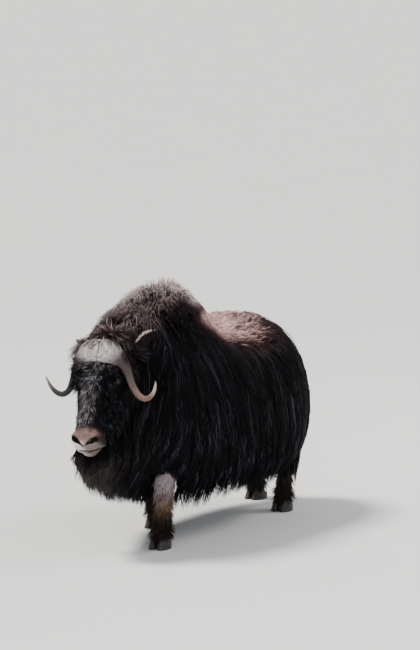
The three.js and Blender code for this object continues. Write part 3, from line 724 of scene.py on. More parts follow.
def horn_material():
    m = Nodes("horn")
    v = m.node("ShaderNodeSeparateXYZ")
    m.link(m.attr("horn").outputs["Vector"], v.inputs[0])
    s, around, side = v.outputs  # 0 at the boss to 1 at the tip; outer face 1, inner -1; across
    dark = m.attr("dark").outputs["Fac"]  # the right horn is the darker one
    stretched = m.node("ShaderNodeCombineXYZ")
    m.link(m.math("MULTIPLY", s, 5.0), stretched.inputs[0])
    m.link(m.math("MULTIPLY", side, 12.0), stretched.inputs[1])
    m.link(m.math("MULTIPLY", around, 5.0), stretched.inputs[2])
    fibre = m.noise(3.2, 6.0, 0.7, vector=stretched.outputs[0])
    patch = m.noise(24.0, 4.0, 0.6)
    grain_and_highlight = m.noise(110.0, 4.0, 0.75)
    pits = m.noise(50.0, 5.0, 0.75)
    c = m.blend(linear(255, 249, 246), linear(246, 232, 226), m.ramp(fibre, 0.40, 0.64))
    # painted shade in the pits of the boss and painted highlights on its raised grains; the same noises also shape its
    # bump
    c = m.blend(c, linear(84, 66, 60), m.ramp(pits, 0.54, 0.60, 0.0, 0.9))
    c = m.blend(c, linear(255, 250, 248), m.ramp(grain_and_highlight, 0.50, 0.58, 0.0, 0.9))
    mid = m.blend(linear(120, 102, 96), linear(64, 52, 47), m.ramp(fibre, 0.38, 0.6))
    c = m.blend(c, mid, m.ramp(m.math("ADD", s, m.ramp(patch, 0, 1, -0.06, 0.06)), 0.15, 0.29))
    warm = m.blend(linear(144, 113, 93), linear(80, 60, 48), m.ramp(fibre, 0.4, 0.6))
    c = m.blend(c, warm, m.ramp(s, 0.50, 0.66))
    # painted highlight: a paler band along the outer face of the horn where it turns down, where the light catches it
    c = m.blend(c, linear(184, 168, 160), m.math("MULTIPLY", m.ramp(around, 0.70, 1.0), m.ramp(s, 0.30, 0.42, 0.0, 0.40)))
    black = m.blend(linear(22, 17, 15), linear(9, 8, 8), m.ramp(fibre, 0.4, 0.6))
    c = m.blend(c, black, m.math("MULTIPLY", dark, m.ramp(s, 0.26, 0.42, 0.0, 0.97)))
    pale = m.math("MULTIPLY", m.ramp(s, 0.82, 0.95), m.ramp(around, -0.8, 0.4, 1.0, 0.6))
    c = m.blend(c, linear(214, 196, 182), m.math("MULTIPLY", pale, m.ramp(dark, 0.0, 1.0, 1.0, 0.45)))
    m.link(c, m.shader.inputs["Base Color"])
    m.link(m.ramp(s, 0.25, 0.6, 0.8, 0.36), m.shader.inputs["Roughness"])
    m.shader.inputs["Specular IOR Level"].default_value = 0.4
    rough = m.math("ADD", m.math("MULTIPLY", grain_and_highlight, 0.8), m.math("SUBTRACT", fibre, m.math("MULTIPLY", pits, 1.2)))
    m.bump(m.math("ADD", m.math("MULTIPLY", rough, m.ramp(s, 0.2, 0.6, 1.0, 0.12)), m.math("MULTIPLY", patch, 0.2)), 1.0, 0.022)
    return m.mat


def hoof_material():
    m = Nodes("hoof")
    rings = m.noise(60.0, 3.0, 0.5, (0.15, 0.15, 2.2))
    fibre = m.noise(90.0, 4.0, 0.6, (2, 2, 0.15))
    c = m.blend(linear(22, 19, 18), linear(52, 44, 39), m.ramp(rings, 0.35, 0.7))
    c = m.blend(c, linear(78, 67, 58), m.ramp(fibre, 0.6, 0.8, 0.0, 0.4))
    m.link(c, m.shader.inputs["Base Color"])
    m.link(m.ramp(fibre, 0.3, 0.7, 0.42, 0.62), m.shader.inputs["Roughness"])
    m.bump(m.math("ADD", rings, m.math("MULTIPLY", fibre, 0.5)), 0.6, 0.003)
    return m.mat


def eye_material():
    m = Nodes("eye")
    v = m.node("ShaderNodeSeparateXYZ")
    m.link(m.attr("eye").outputs["Vector"], v.inputs[0])
    a, b, _ = v.outputs  # along the slit and across it, over the radius
    r = m.math("SQRT", m.math("ADD", m.math("POWER", m.math("ABSOLUTE", a), 2.0), m.math("POWER", m.math("ABSOLUTE", b), 2.0)))
    streaks = m.noise(160.0, 3.0, 0.6)
    iris = m.blend(linear(18, 11, 7), linear(42, 25, 14), m.ramp(streaks, 0.35, 0.7))
    white = m.blend(linear(22, 16, 13), linear(36, 27, 23), m.ramp(streaks, 0.4, 0.7))
    c = m.blend(iris, white, m.ramp(r, 0.66, 0.76))
    pa = m.math("POWER", m.math("ABSOLUTE", m.math("DIVIDE", a, 0.44)), 3.0)
    pb = m.math("POWER", m.math("ABSOLUTE", m.math("DIVIDE", b, 0.20)), 3.0)
    pupil = m.ramp(m.math("ADD", pa, pb), 1.15, 0.85)
    c = m.blend(c, (0.003, 0.003, 0.004, 1), pupil)
    m.link(c, m.shader.inputs["Base Color"])
    m.shader.inputs["Roughness"].default_value = 0.06
    m.shader.inputs["Specular IOR Level"].default_value = 0.30
    m.bump(streaks, 0.05, 0.0004)
    return m.mat


def floor_material():
    m = Nodes("floor")
    c = m.blend(linear(228, 227, 225), linear(232, 231, 229), m.noise(1.5, 3.0))
    m.link(c, m.shader.inputs["Base Color"])
    m.shader.inputs["Roughness"].default_value = 0.9
    m.shader.inputs["Specular IOR Level"].default_value = 0.2
    return m.mat


# ---------------------------------------------------------------- eyes, horns, hooves
def build_eyes(material):
    for s, word in ((1, "left"), (-1, "right")):
        centre, out = EYE_AT * [s, 1, 1], EYE_OUT * [s, 1, 1]
        along = np.array([-0.45 * s, 0.40, 0.80])
        along = unit(along - out * (along @ out))
        across = np.cross(along, out)
        theta = np.concatenate([np.linspace(0.02, 1.0, 26), np.linspace(1.08, math.pi - 0.02, 22)])[:, None]
        phi = np.linspace(0, 2 * math.pi, 48, endpoint=False)[None, :]
        r = EYE_R * (0.975 + 0.025 * np.exp(-((theta / 0.55) ** 4)))
        a, b, c = r * np.sin(theta) * np.cos(phi), r * np.sin(theta) * np.sin(phi), r * np.cos(theta) + 0 * phi
        v = centre + a[..., None] * along + b[..., None] * across + c[..., None] * out
        verts, faces = tube(from_head(v))
        me = mesh_from("eye_" + word, verts, faces)
        attribute(me, "eye", "FLOAT_VECTOR", np.stack([a, b, c], 2).reshape(-1, 3) / EYE_R)
        show("eyeball_" + word, me, material, ["eye_" + word])


def horn_surface(s):
    """Points and (s, outer, across) values of one horn, in the head's frame."""
    rings_in = HORN
    t_in = np.concatenate([[0], np.cumsum(np.linalg.norm(np.diff(rings_in[:, :3], axis=0), axis=1))])
    t = np.concatenate([np.linspace(0, 0.30, 60), np.linspace(0.30, 1, 120)[1:]]) * t_in[-1]
    r = hermite(t_in, rings_in, t)
    tangent = unit(np.gradient(r[:, :3], axis=0))
    wide = np.array([0.0, 0.0, 1.0])
    before = np.array([1.0, 0.0, 0.0])
    around = 64
    a = np.linspace(0, 2 * math.pi, around, endpoint=False)
    rng = np.random.default_rng(31)
    phase = rng.uniform(0, 6.28, 12)
    pts, vals = [], []
    for i, along in enumerate(tangent):
        axis = np.cross(before, along)
        angle = math.asin(min(np.linalg.norm(axis), 1))
        if angle > 1e-6:
            wide = np.array(Matrix.Rotation(angle, 3, Vector(axis)) @ Vector(wide))
        wide = unit(wide - along * (wide @ along))
        before = along
        high = np.cross(along, wide)
        f = t[i] / t_in[-1]
        n = mix(3.0, 2.0, min(f / 0.24, 1))
        ca, sa = spow(np.cos(a), n), spow(np.sin(a), n)
        x, nn, u, broad, thick = r[i]
        rough = step(0.5, 0.1, f)
        ripple = (
            0.0016 * rough * np.sin(9 * a + phase[0] + 5 * f) * np.sin(17 * a + 40 * f + phase[1])
            + 0.0030 * rough * np.sin(23 * a + phase[2]) * np.sin(70 * f + phase[3] + 2 * np.sin(3 * a))
            + 0.0026 * rough * np.sin(13 * a + 31 * f + phase[6]) * np.sin(47 * f + phase[7] + 3 * np.sin(2 * a))
            + 0.0003 * step(0.2, 0.4, f) * step(0.95, 0.7, f) * np.sin(f * 210 + 1.6 * np.sin(2 * a + phase[4]))
            - 0.0022 * rough * np.maximum(0, np.sin(14 * a + phase[5] + 2.5 * np.sin(f * 22))) ** 6
        )
        p = r[i, :3] + np.outer((broad - 0.001 + ripple) * ca, wide) + np.outer((thick - 0.001 + ripple) * sa, high)
        p[:, 0] = np.maximum(p[:, 0], 0.0022)
        pts.append(p)
        vals.append(np.stack([np.full(around, f), np.sin(a), np.cos(a)], 1))
    pts = np.array(pts)
    pts[..., 0] *= s
    return pts, np.array(vals)


def build_horns(material):
    for s, word in ((1, "left"), (-1, "right")):
        pts, vals = horn_surface(s)
        verts, faces = tube(from_head(pts))
        me = mesh_from("horn_" + word, verts, faces)
        attribute(me, "horn", "FLOAT_VECTOR", vals.reshape(-1, 3))
        attribute(me, "dark", "FLOAT", np.full(len(verts), float(s < 0)))
        show("horn_sheath_" + word, me, material, ["horn_" + word])


def build_hooves(material):
    length, width, high, low, split = 0.112, 0.051, 0.058, 0.034, 0.0045
    for foot, (fx, fy, turn) in FEET.items():
        for side, word in ((1, "left"), (-1, "right")):
            a = np.linspace(0, 2 * math.pi, 56, endpoint=False)
            c, s = np.cos(a), np.sin(a)
            rings = []
            for t in [0, 0.0, 0.03, 0.08, *np.linspace(0.14, 0.94, 12), 0.985, 1.0, 1.0, 1.0]:
                k = len(rings)
                shrink = 0.55 if k == 0 else 0.965 if k == 1 else 0.99 if k == 2 else 1.0
                top = k - 16
                shrink *= {0: 0.985, 1: 0.93, 2: 0.80, 3: 0.5}.get(top, 1.0)
                narrow = mix(1, 0.8, t) * (0.985 if t < 0.02 else 1)
                wave = 1 - 0.006 * (0.5 + 0.5 * math.sin(t * 34)) * (0.05 < t < 0.95)
                x = np.where(c < 0, spow(c, 4), spow(c, 2.1))
                y = np.where(s < 0, spow(s, 1.75), spow(s, 2.5))
                turn_in = np.where(s < 0, 0.22 * s * s, 0)
                px = split + width / 2 + (x - turn_in) * (width / 2) * narrow * shrink * wave + (c < 0) * (1 - narrow) * 0.004
                py = y * length * narrow * shrink * wave / 2 + 0.016 * t
                height = mix(high, low, step(0, 1, (y + 1) / 2))
                z = np.clip(t * height - (0.0 if top < 2 else 0.0), 0, None) + (0.002 if top >= 2 else 0)
                rings.append(np.stack([side * np.maximum(px, split), py, z], 1))
            v = np.array(rings)
            q = math.radians(turn)
            rot = np.array([[math.cos(q), -math.sin(q), 0], [math.sin(q), math.cos(q), 0], [0, 0, 1]])
            v = v @ rot.T + np.array([fx, fy, 0]) * 0.001
            # on the left feet the outer toe is the one at +X
            outer = (side > 0) == foot.endswith("left")
            node = f"hoof_{foot}_{'outer' if outer else 'inner'}"
            verts, faces = tube(v)
            show(node + "_shell", mesh_from(node, verts, faces), material, [node])


# ---------------------------------------------------------------- the coat
RNG = np.random.default_rng(20)
CLUMP = RNG.normal(size=(8192, 4))
SCALE = 1.0


class Roots:
    """Places on the skin that hair can grow from."""

    def __init__(self, me):
        me.calc_loop_triangles()
        tri = np.empty(len(me.loop_triangles) * 3, np.int32)
        me.loop_triangles.foreach_get("vertices", tri)
        self.tri = tri.reshape(-1, 3)
        self.p = points_of(me)
        n = np.empty(len(self.p) * 3, np.float32)
        me.vertices.foreach_get("normal", n)
        self.n = n.reshape(-1, 3).astype(float)
        a, b, c = (self.p[self.tri[:, i]] for i in range(3))
        self.area = np.linalg.norm(np.cross(b - a, c - a), axis=1) / 2
        self.mid = (a + b + c) / 3
        self.normal = unit(self.n[self.tri].sum(1))

    def take(self, weight, count):
        w = self.area * weight
        count = int(count * SCALE)
        chosen = RNG.choice(len(w), size=count, p=w / w.sum())
        r = RNG.random((count, 2))
        flip = r.sum(1) > 1
        r[flip] = 1 - r[flip]
        t = self.tri[chosen]
        a, b, c = (self.p[t[:, i]] for i in range(3))
        na, nb, nc = (self.n[t[:, i]] for i in range(3))
        r0, r1 = r[:, :1], r[:, 1:]
        return a + (b - a) * r0 + (c - a) * r1, unit(na + (nb - na) * r0 + (nc - na) * r1)


def clump_of(p, size, salt=0):
    q = np.floor(p / size + salt * 0.37).astype(np.int64)
    return (q[:, 0] * 73856093 ^ q[:, 1] * 19349663 ^ q[:, 2] * 83492791 ^ salt * 7919) % 8192


def reach(root, normal):
    """How far the coat's outline is from the skin."""
    far = np.full(len(root), 0.02)
    for t in np.linspace(0.03, 0.26, 24):
        q = root + normal * t
        inside = COAT.rho(q[:, 1], q[:, 0], q[:, 2]) < 1
        far = np.where(inside & (far > t - 0.0105), t, far)
    return far


def guard_body(p, limit, off):
    """Keeps points off the flesh and inside the coat's outline."""
    x, y, z = p[:, 0].copy(), p[:, 1].copy(), p[:, 2].copy()
    _, _, _, level, _, _ = FLESH.at(y)
    rho = FLESH.rho(y, x, z)
    push = (rho < off) & (y > FLESH.pos[0]) & (y < FLESH.pos[-1] - 0.01)
    k = np.where(push, off / np.maximum(rho, 0.3), 1)
    x, z = x * k, level + (z - level) * k
    # behind, the outline closes in towards the tail, so points come forward instead of in
    back = np.nonzero(y > 0.56)[0]
    for _ in range(14):
        if len(back) == 0:
            break
        out = (COAT.rho(y[back], x[back], z[back]) > np.maximum(limit[back], 0.97)) | (y[back] > 0.79)
        back = back[out & (y[back] > 0.57)]
        y[back] -= 0.011
    top, hem, half, level, nu, nd = COAT.at(y)
    top = top - 0.072 * np.exp(-((y + 0.275) / 0.062) ** 2)
    d = z - level
    rho = ((np.abs(x) / half) ** nu + (np.maximum(d, 0) / (top - level)) ** nu) ** (1 / nu)
    k = np.where((d > 0) & (rho > limit), limit / rho, 1)
    x, z = x * k, level + (z - level) * k
    t = np.clip(-(z - level) / (level - hem), 0, 0.88)
    most = half * (1 - t**nd) ** (1 / nd) * limit
    x = np.where(d < 0, np.clip(x, -most, most), x)
    q = np.stack([x, y, z], 1)
    # the mane parts over the left foreleg
    e = (q - PARTING_AT) / (PARTING_R * 0.97)
    r = np.linalg.norm(e, axis=1)
    inside = (r < 1) & (q[:, 0] > 0.02)
    q[inside] = PARTING_AT + e[inside] / np.maximum(r[inside], 0.1)[:, None] * PARTING_R * 0.97
    return q


def guard_head(p, limit, off):
    h = to_head(p)
    top, low, half, level, nu, nd = FACE.at(h[:, 2])
    rho = FACE.rho(h[:, 2], h[:, 0], h[:, 1])
    push = (rho < off) & (h[:, 2] > FACE.pos[0]) & (h[:, 2] < FACE.pos[-1])
    k = np.where(push, off / np.maximum(rho, 0.3), 1)
    h[:, 0] *= k
    h[:, 1] = level + (h[:, 1] - level) * k
    # beside the face the hair stays close to it
    wide = FACE.at(np.minimum(h[:, 2], 0.47))[2]
    close = wide + mix(0.030, 0.012, step(0.24, 0.38, h[:, 2])) + 0.05 * step(-0.10, -0.30, h[:, 1]) * (h[:, 0] > 0)
    close = close + 0.30 * step(0.64, 0.42, p[:, 2]) + 0.30 * step(-0.20, -0.45, h[:, 1]) + 0.2 * step(0.24, 0.12, h[:, 2])
    h[:, 0] = np.clip(h[:, 0], -close, close)
    q = from_head(h)
    top, hem, half, level, nu, nd = COAT.at(q[:, 1])
    below = (q[:, 2] < level) & (q[:, 1] < -0.80)
    t = np.clip((level - q[:, 2]) / (level - hem), 0, 0.88)
    most = half * (1 - t**nd) ** (1 / nd) * limit
    q[:, 0] = np.where(below, np.clip(q[:, 0], -most, most), q[:, 0])
    return q


def kept_open(p):
    """The hollow of the left ear and the parting over the left foreleg, where no long hair goes."""
    h = to_head(p)
    axis = EAR_TIP[1] - EAR_ROOT
    t = np.clip((h - EAR_ROOT) @ axis / (axis @ axis), 0.52, 1.04)
    d = h - EAR_ROOT - t[:, None] * axis
    out = d @ EAR_OPEN
    beside = np.linalg.norm(d - out[:, None] * EAR_OPEN, axis=1)
    ear = (out > -0.004) & (out < 0.14) & (beside < 0.031)
    rows = LEG_ROWS["foreleg_left"]
    best = np.full(len(p), 9.0)
    away = np.array([0.53, -0.848])
    for far in (0.0, 0.04, 0.08, 0.12, 0.16, 0.20):
        cx, cy = (np.interp(p[:, 2] - 0.15 * far, rows[:, 0], rows[:, i]) for i in (1, 2))
        best = np.minimum(best, np.hypot(p[:, 0] - cx - away[0] * far, p[:, 1] - cy - away[1] * far))
    leg = (best < 0.056 * step(0.43, 0.34, p[:, 2])) & (p[:, 2] < 0.42)
    return ear | leg


EAR_OPEN = unit(np.array([0.50, 0.80, 0.32]))


def guard_leg(p, limit, off):
    """Keeps points close about the nearest leg."""
    best, x, y = np.full(len(p), 99.0), p[:, 0].copy(), p[:, 1].copy()
    for rows in LEG_ROWS.values():
        cx, cy, w, d = (np.interp(p[:, 2], rows[:, 0], rows[:, i]) for i in (1, 2, 3, 4))
        r = np.hypot((p[:, 0] - cx) / w, (p[:, 1] - cy) / d)
        k = np.clip(r, off, np.maximum(limit, off)) / np.maximum(r, 0.05)
        near = r < best
        x, y = np.where(near, cx + (p[:, 0] - cx) * k, x), np.where(near, cy + (p[:, 1] - cy) * k, y)
        best = np.minimum(best, r)
    return np.stack([x, y, p[:, 2]], 1)


def grow(root, normal, lie, length, stand, droop, pull, rings, guard=None, limit=None, wave=0.0, wavelength=0.07,
         clump=0.045, gather=0.3, jitter=0.18, off=1.02, fall_to=None, early=1.0, stop=False):
    """Paths of locks: they leave the skin between its normal and the lie of the coat, and bend towards pull.

    early over 1 sets the rings of a lock closer together near its root, where it bends most.
    """
    n = len(root)
    ones = np.ones(n)
    length, stand, droop = length * ones, stand * ones, droop * ones
    wave, jitter, wavelength = wave * ones, jitter * ones, wavelength * ones
    cid = clump_of(root, clump)
    jit = (CLUMP[cid, :3] * 0.75 + RNG.normal(size=(n, 3)) * 0.55) * jitter[:, None]
    limit = ones if limit is None else limit
    d = unit(normal * stand[:, None] + lie * (1 - stand)[:, None] + jit)
    side = unit(np.cross(d, normal) + 1e-6)
    p = root - normal * 0.003
    pts = [p]
    phase = CLUMP[cid, 3] * 2.0 + RNG.normal(size=n) * 0.8
    sub = 3
    ds = length / (rings * sub)
    for k in range(rings * sub):
        f = (k + 1) / (rings * sub)
        a = 1 - (1 - droop) ** (1 / sub)
        d = unit(d * (1 - a)[:, None] + pull * a[:, None] + jit * 0.05)
        bend = np.cos(phase + 2 * math.pi * length * f / wavelength) * wave * min(f * 2, 1)
        q = p + unit(d + side * bend[:, None]) * ds[:, None]
        if guard is not None:
            q = guard(q, limit, off + 0.05 * f)
            d = unit(d * 0.6 + unit(q - p) * 0.4)
        p = q
        pts.append(p)
    pts = np.stack(pts, 1)
    # cut at the hem
    if fall_to is not None:
        z0, z1 = pts[:, 0, 2], pts[:, -1, 2]
        hem = fall_to(pts[:, -1])
        f = np.where(z1 < hem, np.clip((z0 - hem) / np.maximum(z0 - z1, 1e-4), 0.12, 1), 1)
    else:
        f = ones
    if stop:
        hit = kept_open(pts.reshape(-1, 3)).reshape(n, -1)
        first = np.where(hit.any(1), hit.argmax(1), rings * sub + 1)
        f = np.minimum(f, np.clip((first - 0.7) / (rings * sub), 0.06, 1))
    t = f[:, None] * np.linspace(0, 1, rings + 1)[None, :] ** early * (rings * sub)
    i = np.minimum(t.astype(int), rings * sub - 1)
    r = (t - i)[..., None]
    row = np.arange(n)[:, None]
    pts = pts[row, i] * (1 - r) + pts[row, i + 1] * r
    if gather:
        count = np.bincount(cid, minlength=8192)[:, None].astype(float)
        for k in range(1, rings + 1):
            mean = np.stack([np.bincount(cid, pts[:, k, j], 8192) for j in range(3)], 1) / np.maximum(count, 1)
            near = mean[cid] - pts[:, k]
            near *= (np.linalg.norm(near, axis=1) < 0.05)[:, None]
            pts[:, k] += near * gather * (k / rings) ** 1.5
    return pts


def chart_of(root):
    """Place of a root on a flat unwrap of the skin: trunk, head and legs each have a field of their own."""
    x, y, z = root.T
    h = to_head(root)
    level = FLESH.at(y)[3]
    turn = np.arctan2(x, z - level) / (2 * math.pi) + 0.5
    u = 0.02 + 0.96 * np.clip((y + 1.0) / 1.78, 0, 1)
    v = 0.02 + 0.56 * turn
    hl = FACE.at(h[:, 2])[3]
    hu = 0.02 + 0.45 * np.clip((h[:, 2] + 0.06) / 0.66, 0, 1)
    hv = 0.62 + 0.36 * (np.arctan2(h[:, 0], h[:, 1] - hl) / (2 * math.pi) + 0.5)
    head = headness(root) > 0.5
    u, v = np.where(head, hu, u), np.where(head, hv, v)
    leg = (z < 0.44) & (leg_rho(root)[0] < 1.3) & ~head
    best, which, angle = np.full(len(root), 9.0), np.zeros(len(root)), np.zeros(len(root))
    for i, rows in enumerate(LEG_ROWS.values()):
        cx, cy = (np.interp(z, rows[:, 0], rows[:, k]) for k in (1, 2))
        d = np.hypot(x - cx, y - cy)
        near = d < best
        best, which = np.where(near, d, best), np.where(near, i, which)
        angle = np.where(near, np.arctan2(x - cx, -(y - cy)), angle)
    lu = 0.50 + 0.12 * which + 0.11 * (angle / (2 * math.pi) + 0.5)
    lv = 0.62 + 0.26 * z / 0.44
    return np.stack([np.where(leg, lu, u), np.where(leg, lv, v)], 1)


TRIANGLES = 0


def coat_piece(name, batches, material, chart=None):
    """One or more meshes of closed, three-sided, tapered locks."""
    global TRIANGLES
    pieces, load = [[]], 0
    for b in batches:
        per = 6 * (b["pts"].shape[1] - 2) + 4
        n = len(b["pts"])
        start = 0
        while start < n:
            room = int((192000 - load) // per)
            if room < 50:
                pieces.append([])
                load = 0
                continue
            stop = min(n, start + room)
            pieces[-1].append({k: v[start:stop] for k, v in b.items()})
            load += (stop - start) * per
            start = stop
    for number, group in enumerate(pieces):
        if not group:
            continue
        co, tris, uv, lock, marks = [], [], [], [], []
        base = 0
        for b in group:
            pts, width, out, rnd = b["pts"], b["width"], b["out"], b["chance"]
            n, m = pts.shape[:2]
            rings = m - 1
            d = unit(np.gradient(pts, axis=1))
            o = out[:, None, :] - d * (out[:, None, :] * d).sum(2, keepdims=True)
            o = unit(o + 1e-6)
            side = np.cross(d, o)
            t = np.linspace(0, 1, m)
            prof = np.interp(t, [0, 0.25, 0.6, 0.85, 1], [0.75, 1.0, 0.85, 0.5, 0.0])[:rings]
            w = width[:, None, None] * prof[None, :, None]
            ring = pts[:, :rings]
            sd, oo = side[:, :rings], o[:, :rings]
            body = np.stack([ring + sd * w, ring + oo * w * 0.7, ring - sd * w], 2).reshape(n, rings * 3, 3)
            co.append(np.concatenate([body, pts[:, -1:]], 1).reshape(-1, 3))
            f = []
            for k in range(rings - 1):
                for j in range(3):
                    a, bb = k * 3 + j, k * 3 + (j + 1) % 3
                    f += [(a, a + 3, bb + 3), (a, bb + 3, bb)]
            last = (rings - 1) * 3
            f += [(last + j, rings * 3, last + (j + 1) % 3) for j in range(3)] + [(0, 1, 2)]
            per = rings * 3 + 1
            tris.append((np.array(f)[None] + (np.arange(n) * per)[:, None, None]).reshape(-1, 3) + base)
            base += n * per
            place = b["uv"]
            across = np.tile([0.0011, 0.0, -0.0011], rings)
            down = np.repeat(t[:rings] - 0.5, 3) * 0.0024
            offset = np.concatenate([np.stack([across, down], 1), [[0.0, 0.0012]]])
            uv.append((place[:, None] + offset[None]).reshape(-1, 2))
            tt = np.append(np.repeat(t[:rings], 3), 1.0)
            lock.append(np.stack([np.tile(tt, n), np.repeat(rnd, per), np.repeat(width, per)], 1))
            mk = b["marks"]
            marks.append(np.concatenate([np.repeat(mk[:, :rings], 3, axis=1), mk[:, -1:]], 1).reshape(-1, mk.shape[2]))
        co, tris, uv = np.concatenate(co), np.concatenate(tris), np.concatenate(uv)
        lock, marks = np.concatenate(lock), np.concatenate(marks)
        title = name if len(pieces) == 1 else f"{name}_{'abcdefghij'[number]}"
        me = bpy.data.meshes.new(title)
        me.vertices.add(len(co))
        me.vertices.foreach_set("co", (co + SHIFT).astype(np.float32).ravel())
        me.loops.add(len(tris) * 3)
        me.loops.foreach_set("vertex_index", tris.astype(np.int32).ravel())
        me.polygons.add(len(tris))
        me.polygons.foreach_set("loop_start", np.arange(0, len(tris) * 3, 3, dtype=np.int32))
        me.update(calc_edges=True)
        layer = me.uv_layers.new(name="OFBake")
        layer.data.foreach_set("uv", uv[tris.ravel()].astype(np.float32).ravel())
        set_marks(me, marks)
        attribute(me, "lock", "FLOAT_VECTOR", lock)
        TRIANGLES += len(tris)
        print(title, len(tris))
        show(title, me, material)


def set_marks(me, marks):
    """marks: saddle, wool, pale wool ends with painted light, pale leg with painted light on its front, low leg,
    muzzle, white, grey face strands with painted light, leg.
    """
    one = np.ones(len(marks))
    attribute(me, "marks_a", "FLOAT_COLOR", marks[:, [0, 1, 2, 3]])
    attribute(me, "marks_b", "FLOAT_COLOR", np.stack([marks[:, 8], one * 0, marks[:, 5], marks[:, 4]], 1))
    attribute(me, "marks_c", "FLOAT_COLOR", np.stack([marks[:, 6], marks[:, 7], one * 0, one], 1))


def batch(root, normal, pts, width, keep=range(9), along=False, out=None, chance=None, uv=None):
    """along: the markings are those of each place along a lock, not of its root."""
    n, m = pts.shape[:2]
    cid = clump_of(root, 0.03, 3)
    if chance is None:
        chance = np.clip(0.5 + 0.16 * CLUMP[cid, 0] + RNG.normal(size=n) * 0.20, 0, 1)
    if along:
        marks = marks_of(pts.reshape(-1, 3)).reshape(n, m, -1)
    else:
        marks = np.repeat(marks_of(root)[:, None], m, axis=1)
    kept = np.zeros(marks.shape[2])
    kept[list(keep)] = 1
    return {
        "pts": pts, "width": width * np.clip(np.exp(RNG.normal(size=n) * 0.32), 0.5, 2.0), "out": normal if out is None else out,
        "chance": chance, "uv": chart_of(root) if uv is None else uv,
        "marks": np.clip(marks * kept, 0, 1),
    }


def tangent(v, normal):
    return unit(v - normal * (v * normal).sum(1, keepdims=True))


def hem_of(ragged):
    def fall(p):
        return COAT.at(p[:, 1])[1] + ragged
    return fall


BODY = (0, 1, 2)


